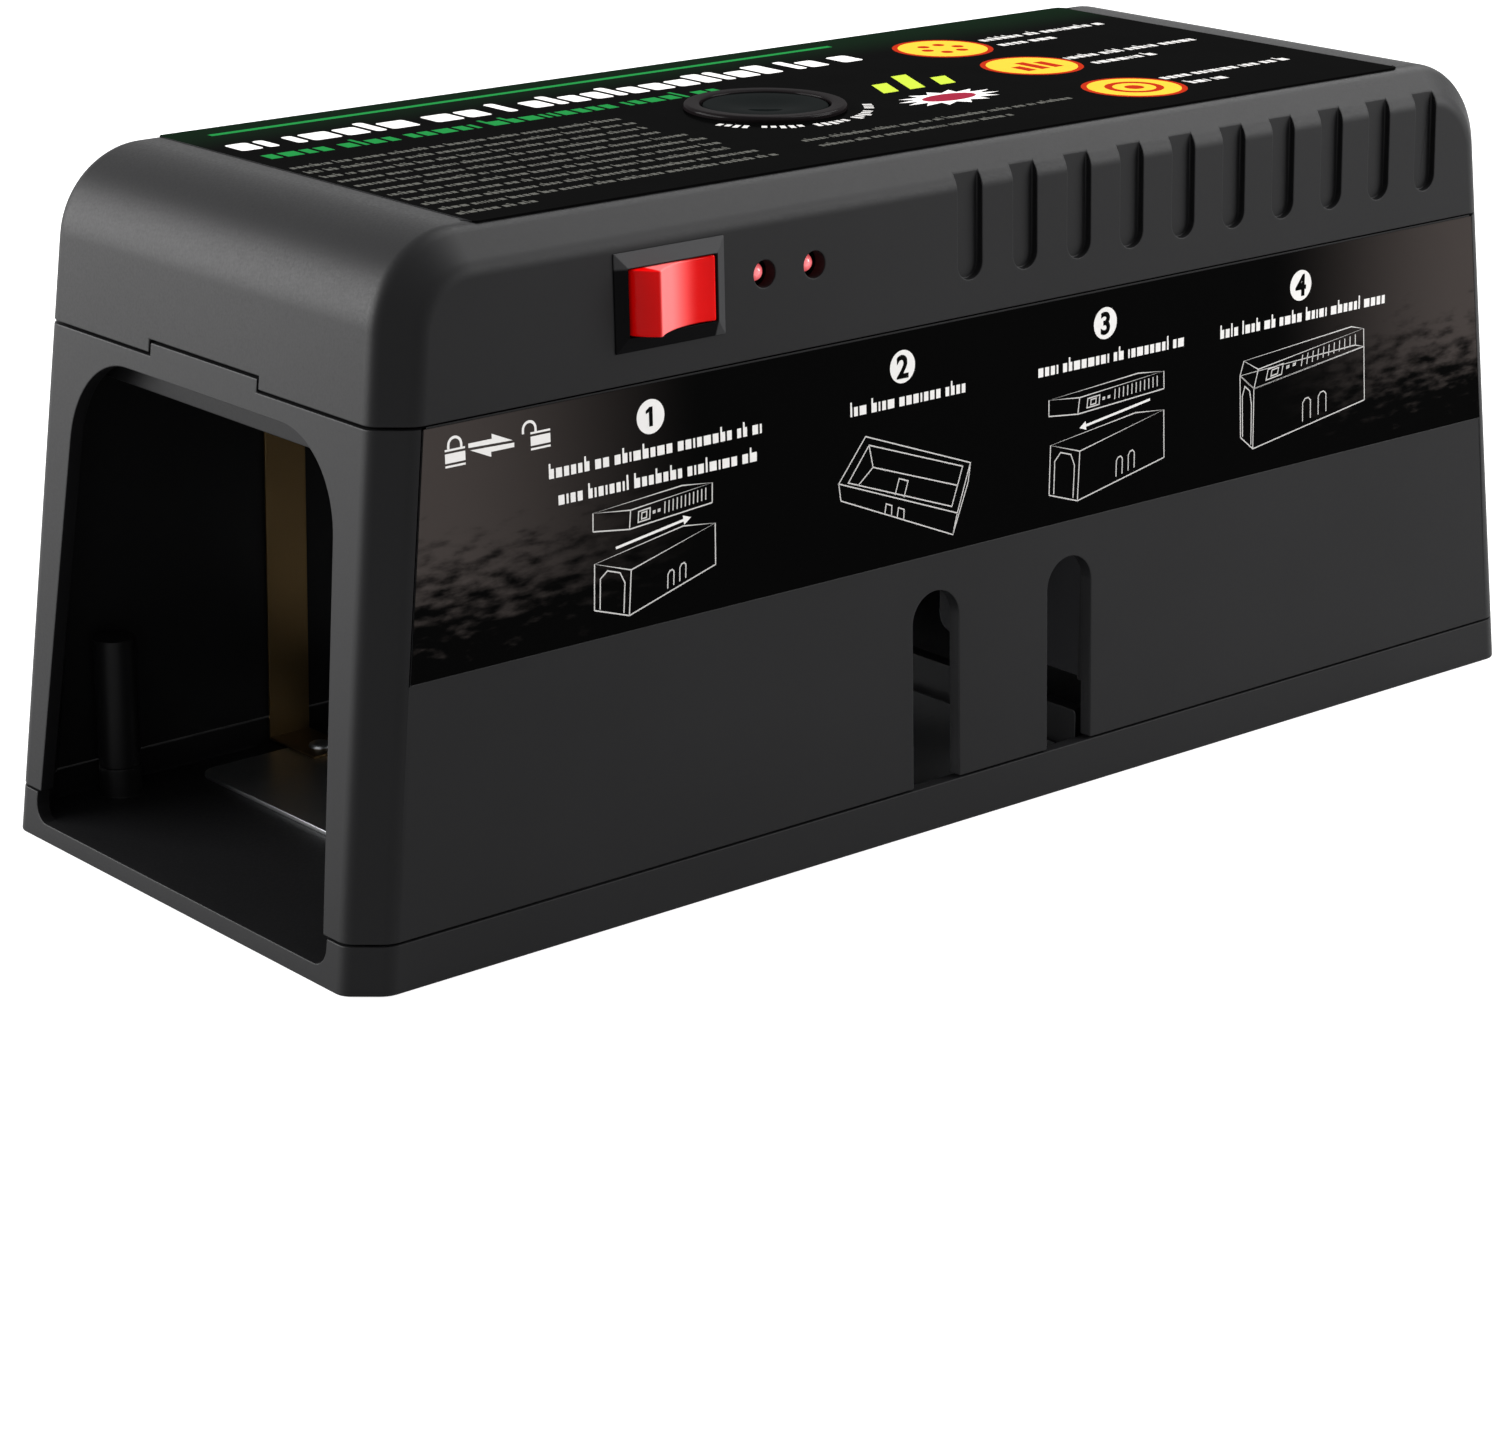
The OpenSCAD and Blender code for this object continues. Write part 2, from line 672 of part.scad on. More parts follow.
module plate_rivets() {
    color("#9c9fa2") {
        for (x = strip_places) translate([x, plate_half - strip_foot / 2, 0]) rivet(plate_z1 + strip_t);
        for (x = [entry_plate_x + rivet_inset, entry_plate_x1 - rivet_inset,
                  middle_plate_x0 + rivet_inset, middle_plate_x1 - rivet_inset,
                  rear_plate_x0 + rivet_inset, rear_plate_x - rivet_inset])
            translate([x, -plate_half + rivet_inset, 0]) rivet(plate_z1);
    }
}

// ---- Side label ----
function side_label_outline(grow) =
    let (z0 = side_label_z - grow, z1 = shell_z1 + grow,
         m = side_label_margin - grow,
         half0 = end_x(z0, bevel_x) - m, half1 = end_x(z1, bevel_x) - m)
    [[-half0, up(z0)], [half0, up(z0)], [half1, up(z1)], [-half1, up(z1)]];
module label_recess_cut() {
    on_side() translate([0, 0, -label_recess]) linear_extrude(cut) polygon(side_label_outline(0));
}
module side_label() {
    color("#151515") on_side() translate([0, 0, -label_recess])
        linear_extrude(label_t) polygon(side_label_outline(-0.05));
}

// ---- Bait cup ----
module bait_cup() {
    z0 = floor_t + 0.1;
    color("#3a3a3a") difference() {
        union() {
            plate_at(cup_x0, cup_x0 + cup_l, cup_w / 2, z0, cup_h, cup_round);
            translate([cup_x0 + cup_l - cup_wall, 0, 0]) along_x(0, cup_wall,
                rounded_rect(-cup_tab_w / 2, z0 + cup_wall, cup_tab_w / 2, z0 + cup_h + cup_tab_h, 3));
        }
        plate_at(cup_x0 + cup_wall, cup_x0 + cup_l - cup_wall, cup_w / 2 - cup_wall,
            z0 + cup_wall, cup_h + cup_tab_h, cup_round - cup_wall);
        translate([cup_x0, 0, z0 + cup_h + cup_tab_h / 2]) rotate([0, 90, 0])
            cylinder(d = cup_tab_h / 2, h = cup_l + cut);
    }
}

// ---- Cover ----
module groove() {
    z0 = up(cover_seam_z + groove_rise) + groove_w / 2;
    translate([0, 0, -groove_depth]) {
        translate([-groove_w / 2, z0, 0]) cube([groove_w, up(case_h) - z0, bevel_y + 2 * groove_depth]);
        translate([0, z0, 0]) cylinder(d = groove_w, h = bevel_y);
    }
}
module grooves() {
    on_side() for (i = [0:groove_count - 1]) translate([groove_last_x - i * groove_pitch, 0, 0]) groove();
}
module at_switch() {
    on_side() translate([switch_x, up(cover_seam_z + switch_rise), 0]) children();
}
module at_lamps() {
    on_side() for (i = [0, 1])
        translate([lamp_x + i * lamp_pitch, up(cover_seam_z + lamp_rise), 0]) children();
}
module at_tray_screws() {
    for (x = tray_screw_xs) both_sides() translate([x, tray_screw_y, 0]) children();
}
// Lug of the end wall that fills the notch which a rail leaves through
module rail_lug() {
    intersection() {
        difference() {
            case_solid();
            case_solid(wall);
        }
        box(case_l / 2 - 25, case_l / 2, rail_in, rail_out, rail_z0, cover_z0 + cut);
    }
}
module top_cover() {
    post_z = tray_z1 + tray_boss_h + pin_gap;
    color("#2b2b2b") difference() {
        union() {
            difference() {
                case_slab(cover_z0, case_h + cut);
                case_solid(wall);
            }
            both_sides() rail_lug();
            intersection() {
                at_tray_screws() translate([0, 0, post_z]) cylinder(d = tray_post_d, h = case_h);
                case_solid(wall / 2);
            }
        }
        box(-case_l, -case_l / 2 + 25, -tongue_half - cover_gap / 2, tongue_half + cover_gap / 2,
            0, cover_seam_z + tongue_h + cover_gap / 2);
        both_sides() grooves();
        at_switch() translate([-switch_body_w / 2 - touch, -switch_body_h / 2 - touch, -wall - bevel_y])
            cube([switch_body_w + 2 * touch, switch_body_h + 2 * touch, wall + bevel_y + cut]);
        at_lamps() translate([0, 0, -wall - cut]) cylinder(d = lamp_hole_d, h = wall + 2 * cut);
        translate([button_x, button_y, ceiling_z - cut]) cylinder(d = collar_hole_d, h = wall + 2 * cut);
        at_tray_screws() translate([0, 0, post_z - cut])
            cylinder(d = tray_screw[0] + 2 * pin_gap, h = tray_screw[1] + cut);
        translate([0, 0, case_h - label_recess]) linear_extrude(cut) polygon(top_label_outline(0));
    }
}
function top_label_outline(grow) =
    let (half = side_y(case_h, bevel_y) + grow)
    rounded_rect(top_label_x0 - grow, -half, top_label_x1 + grow, half, 1);
module top_label() {
    color("#151515") difference() {
        translate([0, 0, case_h - label_recess]) linear_extrude(label_t) polygon(top_label_outline(-0.05));
        translate([button_x, button_y, case_h - cut]) cylinder(d = collar_hole_d, h = 2 * cut);
    }
}
module tray_screws() {
    z = tray_z1 + tray_boss_h - 1.5;
    color("#8a8a8a") at_tray_screws() translate([0, 0, z]) screw(tray_screw);
}

// ---- Tray that closes the cover, with the battery box and the slide rails ----
module rail() {
    box(rail_start_x, rail_end_x, rail_in, rail_in + rail_web, rail_z0, tray_z0 + cut / 2);
    box(rail_start_x, rail_end_x, rail_in, rail_out, rail_z0, rail_z1);
}
module battery_box() {
    difference() {
        box(box_x, box_x1, -box_inner_half - box_wall, box_inner_half + box_wall,
            tray_z0, box_top_z + box_wall);
        box(box_in_x0, box_in_x1, -box_inner_half, box_inner_half, 0, box_top_z);
        box(0, case_l, -door_half, door_half, 0, tray_z1 + door_gap);
    }
}
module at_board_screws() {
    for (x = [board_x + board_screw_in_x, board_x + board_l - board_screw_in_x])
        for (y = [-1, 1]) translate([x, y * (board_w / 2 - board_screw_in_y), 0]) children();
}
module leaf_windows() {
    for (x = strip_places) box(x - strip_w / 2 - 0.5, x + strip_w / 2 + 0.5,
        flange_in - touch, case_w, tray_z0 - cut, tray_z1 + cut);
}
module cover_tray() {
    lug_end = door_half + 1;
    color("#333333") difference() {
        union() {
            difference() {
                case_slab(tray_z0, tray_z1, wall + tray_fit);
                box(door_hinge_x - door_lug_r, door_end_x + door_gap, -door_half, door_half, 0, case_h);
                leaf_windows();
            }
            battery_box();
            both_sides() rail();
            at_tray_screws() translate([0, 0, tray_z0]) cylinder(d = tray_post_d, h = tray_t + tray_boss_h);
            at_board_screws() translate([0, 0, tray_z0]) cylinder(d = 6, h = tray_t + board_post_h);
            both_sides() translate([door_hinge_x, door_knuckle_half + door_gap, door_hinge_z])
                rotate([-90, 0, 0]) cylinder(r = door_lug_r, h = lug_end - door_knuckle_half - door_gap);
        }
        at_tray_screws() translate([0, 0, tray_z0 - cut]) {
            cylinder(d = tray_screw[0] + 2 * pin_gap, h = case_h);
            cylinder(d = tray_screw[2] + head_gap, h = cut + tray_t + tray_boss_h - 1.5);
        }
        at_board_screws() translate([0, 0, board_z0 - board_screw[1]])
            cylinder(d = board_screw[0] + 2 * pin_gap, h = board_screw[1] + cut);
        both_sides() translate([door_hinge_x, 0, door_hinge_z]) rotate([-90, 0, 0])
            cylinder(r = door_pin_r + pin_gap, h = door_knuckle_half + 3);
        for (y = [-1.5, 1.5]) box(box_x - cut, box_in_x0 + cut, y * cell_pitch - 1.8, y * cell_pitch + 1.8,
            cell_z - 0.4, cell_z + 0.4);
        slab(0, rail_z0);
    }
}
module battery_door() {
    latch_x = box_x1 + 0.6;
    color("#333333") difference() {
        union() {
            box(door_hinge_x + 2.2, door_end_x, door_gap - door_half, door_half - door_gap, tray_z0, tray_z1);
            box(door_hinge_x, door_hinge_x + 3, -door_knuckle_half, door_knuckle_half, tray_z0, tray_z1);
            translate([door_hinge_x, -door_knuckle_half, door_hinge_z]) rotate([-90, 0, 0])
                cylinder(r = door_knuckle_r, h = 2 * door_knuckle_half);
            translate([door_hinge_x, -door_knuckle_half - 2.5, door_hinge_z]) rotate([-90, 0, 0])
                cylinder(r = door_pin_r, h = 2 * door_knuckle_half + 5);
            box(latch_x, latch_x + latch_t, -latch_half, latch_half, tray_z1 - cut, tray_z1 + latch_h);
            box(latch_x, latch_x + latch_t * 1.5, -latch_half, latch_half,
                tray_z1 + latch_h - latch_t, tray_z1 + latch_h);
        }
        for (i = [-3:3]) translate([door_end_x - 4 - door_grip_l, i * door_grip_pitch - door_grip_w / 2, 0])
            cube([door_grip_l, door_grip_w, tray_z0 + 0.5]);
    }
}

// ---- Batteries ----
module facing_cells() {
    for (i = [0:3]) translate([0, (i - 1.5) * cell_pitch, cell_z])
        if (i % 2 == 0) {
            translate([box_in_x0 + contact_t, 0, 0]) rotate([0, 90, 0]) children();
        } else {
            translate([box_in_x1 - contact_t, 0, 0]) rotate([0, -90, 0]) children();
        }
}
module battery_cells() {
    color("#c07a2a") facing_cells() translate([0, 0, cell_spring_l]) {
        cylinder(d = cell_d, h = cell_l - 1);
        cylinder(d = 5.4, h = cell_l);
    }
}
module battery_springs() {
    color("#c8cacc") facing_cells() coil(cell_spring_d, cell_spring_wire, cell_spring_l, cell_spring_turns, 8);
}
module battery_contacts() {
    half = 5.6;
    color("#c8cacc") {
        for (i = [0:3], end = [0, 1]) translate([end == 0 ? box_in_x0 : box_in_x1 - contact_t,
            (i - 1.5) * cell_pitch, cell_z]) box(0, contact_t, -half, half, -half, half);
        box(box_in_x0, box_in_x0 + contact_t, -cell_pitch / 2, cell_pitch / 2, cell_z - 2, cell_z + 2);
        both_sides() box(box_in_x1 - contact_t, box_in_x1, cell_pitch / 2, cell_pitch * 1.5,
            cell_z - 2, cell_z + 2);
        for (y = [-1.5, 1.5]) box(box_x - 4, box_in_x0 + contact_t, y * cell_pitch - 1.5,
            y * cell_pitch + 1.5, cell_z - 0.2, cell_z + 0.2);
        facing_cells() translate([0, 0, cell_l + cell_spring_l]) cylinder(d = 3, h = 0.5);
    }
}

// ---- Contact leaves that meet the strips' pads through windows in the tray ----
leaf_tip_z = shell_z1 + 0.3;
leaf_root_y = box_inner_half + box_wall + 1;
module contact_leaves() {
    t = 0.4;
    color("#c4b07a") for (x = strip_places)
        along_x(x - strip_w / 2 + 0.5, x + strip_w / 2 - 0.5,
            [[leaf_root_y, tray_z1], [flange_in, tray_z1], [flange_in + 1.3, leaf_tip_z],
             [flange_in + 2.4, leaf_tip_z + 0.5], [flange_in + 2.2, leaf_tip_z + 0.9],
             [flange_in + 1.5, leaf_tip_z + 0.6], [flange_in + 0.4, tray_z1 + t], [leaf_root_y, tray_z1 + t]]);
}
module leaf_rivets() {
    color("#9c9fa2") for (x = strip_places) translate([x, leaf_root_y + 3.4, 0]) rivet(tray_z1 + 0.4);
}

// ---- Circuit board ----
module circuit_board() {
    color("#1f6b3a") difference() {
        box(board_x, board_x + board_l, -board_w / 2, board_w / 2, board_z0, board_z1);
        at_board_screws() translate([0, 0, board_z0 - cut])
            cylinder(d = board_screw[0] + 2 * pin_gap, h = board_t + 2 * cut);
    }
}
module board_screws() {
    color("#8a8a8a") at_board_screws() translate([0, 0, board_z1]) mirror([0, 0, 1]) screw(board_screw);
}
// A block of the given size that stands on the middle of its foot
module block(size) {
    translate([-size[0] / 2, -size[1] / 2, 0]) cube(size);
}
module transformer() {
    translate([board_x + board_w * 0.23, board_w * 0.2, board_z1]) {
        color("#2a2a2a") for (z = [0, bobbin_end[2] + winding[2]]) translate([0, 0, z]) block(bobbin_end);
        color("#c9a23a") translate([0, 0, bobbin_end[2]]) block(winding);
    }
}
module capacitors() {
    translate([board_x + board_l - film_capacitor[0] + 2, board_w * 0.27, board_z1])
        color("#a83a2a") block(film_capacitor);
    translate([board_x + board_l - can_d - 5, -board_w / 4, board_z1])
        color("#22304a") cylinder(d = can_d, h = can_h);
}
module control_chip() {
    translate([board_x + chip[0], -board_w * 0.21, board_z1]) color("#1a1a1a") {
        translate([0, 0, chip_lift]) block(chip);
        for (i = [0:chip_pins - 1], s = [-1, 1])
            translate([(i - (chip_pins - 1) / 2) * chip_pin_pitch, s * (chip[1] / 2 + 0.4), 0])
                block([0.8, 1, chip_lift + chip[2] / 2]);
    }
}
module tact_switch() {
    translate([button_x, button_y, board_z1]) {
        color("#1a1a1a") block([tact_w, tact_w, tact_h]);
        color("#e8e8e8") cylinder(d = tact_pin_d, h = tact_top_z - board_z1);
    }
}
module lamps() {
    bulb_l = 5.5;
    leg_in = 1;
    color("#ff8c90") at_lamps() translate([0, 0, -lamp_sink - lamp_d / 2]) {
        sphere(d = lamp_d);
        translate([0, 0, -bulb_l]) cylinder(d = lamp_d, h = bulb_l);
        translate([0, 0, -bulb_l]) cylinder(d = lamp_d + 0.8, h = 1);
    }
    color("#c8cacc") for (i = [0, 1], s = [-1, 1]) {
        x = lamp_x + i * lamp_pitch + s * 0.8;
        z = cover_seam_z + lamp_rise;
        y0 = -side_y(z) + lamp_sink + lamp_d / 2 + bulb_l - 0.4;
        y1 = leg_in - board_w / 2;
        box(x - 0.25, x + 0.25, y0, y1, z - 0.5, z);
        box(x - 0.25, x + 0.25, y1 - 0.5, y1, board_z1, z);
    }
}

// ---- Wires, held between the pieces that they join ----
terminal_z = cover_seam_z + switch_rise;
terminal_y = -side_y(terminal_z) - rocker_pivot_z + switch_floor_drop + switch_floor_t + tab_l + touch;
solder_gap = 0.05;
module red_wires() {
    z = cell_z;
    tag_y = -1.5 * cell_pitch;
    color("#b01818") {
        wire([[box_x - 4, tag_y, z], [box_x - 7, tag_y, z], [box_x - 9, tag_y - 3, z + 1],
              [board_x + board_l - 1, -board_w / 2 - 2.5, z + 2],
              [board_x + 28, -board_w / 2 - 3, z + 3],
              [board_x + 26, -board_w / 2 - 1, z + 10], [lamp_x - 1, terminal_y + 2, z + 10],
              [board_x - 6, terminal_y + 4, z + 8], [switch_x + 4, terminal_y + 5, z + 4],
              [switch_x, terminal_y + 3, terminal_z], [switch_x, terminal_y, terminal_z]], wire_d);
    }
}
module black_wires() {
    tag_y = 1.5 * cell_pitch;
    color("#1c1c1c") wire([[box_x - 4, tag_y, cell_z], [box_x - 7, tag_y, cell_z],
        [box_x - 9.5, tag_y - 1, cell_z + 1.5], [board_x + board_l - 3, tag_y - 1, board_z1 + 3.4],
        [board_x + board_l - 4, tag_y - 1, board_z1 + 1.6],
        [board_x + board_l - 4, tag_y - 1, board_z1 + solder_gap]], wire_d, [0, 1, 0]);
}
module white_wires() {
    color("#d8d8d8") for (x = strip_places) {
        y = leaf_root_y + 0.8;
        edge = min(max(x, board_x + 6), board_x + board_l - 6);
        wire([[x - 2.5, y, tray_z1 + 0.4 + solder_gap], [x - 2.5, y, tray_z1 + 3],
              [(x + edge) / 2, y + 1.2, board_z0 - 1], [edge, y + 1, board_z1 + 1],
              [edge, y - 1.5, board_z1 + 2.6], [edge, board_w / 2 - 2.4, board_z1 + 1.6],
              [edge, board_w / 2 - 2.4, board_z1 + solder_gap]], wire_d, [1, 0, 0]);
    }
}

// ---- Rocker switch ----
module switch_housing() {
    w = switch_rim_w / 2;
    h = switch_rim_h / 2;
    w1 = switch_open_w / 2 + 0.15;
    h1 = switch_open_h / 2 + 0.15;
    floor_z = rocker_pivot_z - switch_floor_drop;
    step = 0.25;
    color("#1e1e1e") at_switch() difference() {
        union() {
            loft([for (r = [[w, h, 0.02], [w, h, step], [w1, h1, switch_rim_t]])
                [[-r[0], -r[1], r[2]], [r[0], -r[1], r[2]], [r[0], r[1], r[2]], [-r[0], r[1], r[2]]]]);
            translate([-switch_body_w / 2, -switch_body_h / 2, floor_z - switch_floor_t])
                cube([switch_body_w, switch_body_h, step - floor_z + switch_floor_t]);
        }
        translate([-switch_open_w / 2, -switch_open_h / 2, floor_z])
            cube([switch_open_w, switch_open_h, switch_rim_t - floor_z + cut]);
        translate([-rocker_r - 0.3, -switch_open_h / 2, floor_z])
            cube([2 * rocker_r + 0.6, switch_open_h, rocker_pivot_z + 1.8 - floor_z]);
        translate([0, 0, rocker_pivot_z]) rotate([90, 0, 0])
            cylinder(r = rocker_pin_r + pin_gap, h = switch_body_h + 2 * cut, center = true);
        for (x = [-contact_place, 0]) translate([x, 0, floor_z - switch_floor_t / 2])
            cube([tab_t + 0.1, tab_w + 0.1, switch_floor_t + 2 * cut], center = true);
    }
}
module switch_terminals() {
    floor_z = rocker_pivot_z - switch_floor_drop;
    color("#c4b07a") at_switch() for (t = [[-contact_place, 0.3], [0, 0.85]])
        translate([t[0], 0, floor_z]) {
            box(-tab_t / 2, tab_t / 2, -tab_w / 2, tab_w / 2, -switch_floor_t - tab_l, t[1]);
            box(-1.1, 1.1, -tab_w / 2, tab_w / 2, 0, 0.3);
        }
}
module switch_rocker() {
    corner = [rocker_r * cos(rocker_corner), rocker_r * sin(rocker_corner)];
    dip_r = (pow(corner[0], 2) + pow(rocker_dip, 2)) / (2 * rocker_dip);
    spread = asin(corner[0] / dip_r);
    color("#d00a0a") at_switch() translate([0, 0, rocker_pivot_z]) rotate([0, rocker_tilt, 0]) {
        across_y(rocker_t, concat(
            arc([0, 0], rocker_r, rocker_bottom, rocker_corner),
            arc([0, corner[1] - rocker_dip + dip_r], dip_r, 270 + spread, 270 - spread),
            arc([0, 0], rocker_r, 180 - rocker_corner, 180 - rocker_bottom)));
        rotate([90, 0, 0]) cylinder(r = rocker_pin_r, h = switch_body_h - 0.6, center = true);
        translate([0, 0, -6.2]) {
            cylinder(r = 1, h = 5);
            sphere(r = 1);
        }
    }
}
module switch_seesaw() {
    t = 0.5;
    shape = [[-6, 0.5], [-2, -0.1], [0, -0.3], [2, -0.1], [6, 0.5]];
    color("#c4b07a") at_switch() translate([0, 0, rocker_pivot_z - seesaw_drop]) rotate([0, -seesaw_tilt, 0]) {
        across_y(tab_w, concat(shape, [for (i = [4:-1:0]) shape[i] + [0, t]]));
        rotate([90, 0, 0]) cylinder(r = 0.3, h = tab_w, center = true);
        for (s = [-1, 1]) translate([s * contact_place, 0, -0.1]) cylinder(r = 0.9, h = 0.7);
    }
}

// ---- Shock button ----
module button_collar() {
    r_in = button_d / 2 + button_gap;
    z0 = case_h - label_recess + label_t;
    color("#2a2525") translate([button_x, button_y, 0]) rotate_extrude() polygon(concat(
        [[r_in, z0 - collar_depth], [collar_hole_d / 2 - touch, z0 - collar_depth],
         [collar_hole_d / 2 - touch, z0],
         [collar_d / 2, z0]],
        arc([collar_d / 2 - collar_h * 0.6, z0 + collar_h * 0.4], collar_h * 0.6, 0, 90, small_steps),
        [[r_in + collar_edge, z0 + collar_h], [r_in, z0 + collar_h - collar_edge]]));
}
module shock_button() {
    r = button_d / 2;
    inner = r - button_wall;
    stem_r = button_stem_d / 2;
    stem_z = tact_top_z + button_travel + button_rest_gap;
    color("#1f2322") translate([button_x, button_y, 0]) rotate_extrude() polygon([
        [0, button_top_z - button_edge], [r * 0.55, button_top_z - button_edge * 0.8],
        [r * 0.85, button_top_z], [r - button_edge, button_top_z], [r, button_top_z - button_edge],
        [r, button_under_z - button_skirt], [inner, button_under_z - button_skirt],
        [inner, button_under_z], [stem_r, button_under_z], [stem_r, stem_z], [0, stem_z]]);
}
module button_spring() {
    color("#c8cacc") translate([button_x, button_y, board_z1])
        coil(button_spring_d, button_spring_wire, button_under_z - board_z1, button_spring_turns);
}

base_plate();
body_shell();
rear_baffle();
entry_plate();
middle_plate();
rear_plate();
plate_rivets();
contact_strips();
base_screws();
side_label();
bait_cup();
top_cover();
cover_tray();
tray_screws();
top_label();
button_collar();
switch_housing();
switch_terminals();
lamps();
circuit_board();
transformer();
capacitors();
control_chip();
tact_switch();
board_screws();
battery_cells();
battery_springs();
battery_contacts();
contact_leaves();
leaf_rivets();
red_wires();
black_wires();
white_wires();
switch_rocker();
switch_seesaw();
shock_button();
button_spring();
battery_door();
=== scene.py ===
import json
import math
import random

import bmesh
import bpy
from mathutils import Matrix, Vector

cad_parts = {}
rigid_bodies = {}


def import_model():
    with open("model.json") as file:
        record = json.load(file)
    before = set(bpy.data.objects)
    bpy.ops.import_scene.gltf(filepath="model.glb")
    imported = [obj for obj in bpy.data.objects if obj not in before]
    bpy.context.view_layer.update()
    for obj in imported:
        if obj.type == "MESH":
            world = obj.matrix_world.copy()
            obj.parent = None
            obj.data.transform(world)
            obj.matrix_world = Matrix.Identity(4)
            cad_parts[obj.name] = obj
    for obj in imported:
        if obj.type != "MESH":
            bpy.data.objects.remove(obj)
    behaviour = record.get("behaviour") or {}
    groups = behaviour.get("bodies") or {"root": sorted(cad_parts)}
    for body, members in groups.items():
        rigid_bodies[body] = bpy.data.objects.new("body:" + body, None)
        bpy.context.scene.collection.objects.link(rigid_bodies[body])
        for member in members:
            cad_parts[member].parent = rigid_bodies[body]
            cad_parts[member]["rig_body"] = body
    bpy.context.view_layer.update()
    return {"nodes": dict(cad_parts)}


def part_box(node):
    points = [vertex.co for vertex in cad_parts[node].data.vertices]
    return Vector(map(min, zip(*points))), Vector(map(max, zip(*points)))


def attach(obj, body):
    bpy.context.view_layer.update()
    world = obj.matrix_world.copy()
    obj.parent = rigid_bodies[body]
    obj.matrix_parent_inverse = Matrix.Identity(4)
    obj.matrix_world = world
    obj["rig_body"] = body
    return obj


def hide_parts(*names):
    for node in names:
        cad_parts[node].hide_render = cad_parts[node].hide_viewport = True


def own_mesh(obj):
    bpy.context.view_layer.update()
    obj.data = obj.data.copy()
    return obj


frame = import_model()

# ---- Camera ----
# It stands off the doorway end on the switch side, a little above the case, with a long lens,
# so that the case fills the frame and the top and both near walls show.
MM = 0.001
camera_place = Vector((-437.8, -501.0, 232.7)) * MM
camera_turn = math.radians(40.321)   # from looking along +Y towards +X
camera_dip = math.radians(19.103)    # below the horizon
camera_roll = math.radians(0.149)


def new_object(name, data):
    """An object in the scene that holds the data."""
    made = bpy.data.objects.new(name, data)
    bpy.context.scene.collection.objects.link(made)
    return made


camera_data = bpy.data.cameras.new("camera")
camera_data.sensor_width = 36
camera_data.lens = 96.75
camera = new_object("camera", camera_data)
camera.matrix_world = (Matrix.Translation(camera_place) @ Matrix.Rotation(-camera_turn, 4, "Z")
                       @ Matrix.Rotation(math.pi / 2 - camera_dip, 4, "X")
                       @ Matrix.Rotation(camera_roll, 4, "Z"))
bpy.context.scene.camera = camera
bpy.context.scene.view_settings.view_transform = "Standard"


# ---- Studio ----
# A pale floor under a white surround, a large soft light at the doorway end, a weaker one
# overhead and a small one in front of the switch side.
def linear(hex_code):
    """sRGB hex code to the linear colour that a shader takes."""
    parts = [int(hex_code[i:i + 2], 16) / 255 for i in (1, 3, 5)]
    return [c / 12.92 if c <= 0.04045 else ((c + 0.055) / 1.055) ** 2.4 for c in parts] + [1.0]


def feed(tree, node, inputs):
    """Sets each named input of the node to its value, or links it to the socket that is given,
    which for a node is the first that it offers."""
    for name, value in dict(inputs).items():
        if isinstance(value, bpy.types.Node):
            value = next(socket for socket in value.outputs if socket.enabled)
        if isinstance(value, bpy.types.NodeSocket):
            tree.links.new(value, node.inputs[name])
        else:
            node.inputs[name].default_value = value


def add(tree, kind, inputs=(), **settings):
    """Adds a node with its settings and feeds its inputs."""
    node = tree.nodes.new(kind)
    for name, value in settings.items():
        setattr(node, name, value)
    feed(tree, node, inputs)
    return node


def light(name, size, place, target, watts):
    """A rectangular soft light, in metres, that faces its target."""
    data = bpy.data.lights.new(name, "AREA")
    data.shape = "RECTANGLE"
    data.size, data.size_y = size
    data.energy = watts
    lamp = new_object(name, data)
    lamp.location = place
    lamp.rotation_mode = "QUATERNION"
    lamp.rotation_quaternion = (Vector(target) - Vector(place)).to_track_quat("-Z", "Y")


light("doorway_light", (1.6, 1.0), (-1.25, 0.95, 0.5), (-0.1, 0, 0.06), 60)
light("overhead_light", (1.4, 1.4), (1.0, -0.15, 1.4), (0, 0, 0.08), 42)
light("front_light", (0.8, 0.6), (0.9, -0.8, 0.5), (0, 0, 0.06), 15)


def per_ray(tree, seen, in_gloss, otherwise):
    """A brightness for what the camera sees directly, one for what gloss and glass show, and one
    for what lights other surfaces."""
    path = add(tree, "ShaderNodeLightPath").outputs
    gloss = add(tree, "ShaderNodeMath", {
        0: path["Is Glossy Ray"], 1: path["Is Transmission Ray"]}, operation="MAXIMUM")
    unseen = add(tree, "ShaderNodeMath", {
        0: gloss, 1: in_gloss - otherwise, 2: otherwise}, operation="MULTIPLY_ADD")
    return add(tree, "ShaderNodeMath", {
        0: path["Is Camera Ray"], 1: seen - otherwise, 2: unseen}, operation="MULTIPLY_ADD")


world = bpy.data.worlds.new("surround")
bpy.context.scene.world = world
world.use_nodes = True
sky = world.node_tree
sky.nodes.clear()
surround = add(sky, "ShaderNodeBackground", {
    "Color": linear("#ffffff"), "Strength": per_ray(sky, 1.0, 1.0, 0.35)})
add(sky, "ShaderNodeOutputWorld", {"Surface": surround})


def new_material(name):
    """A material with a Principled shader: returns the material, its tree and the shader."""
    made = bpy.data.materials.new(name)
    made.use_nodes = True
    tree = made.node_tree
    tree.nodes.clear()
    shader = add(tree, "ShaderNodeBsdfPrincipled")
    add(tree, "ShaderNodeOutputMaterial", {"Surface": shader})
    return made, tree, shader


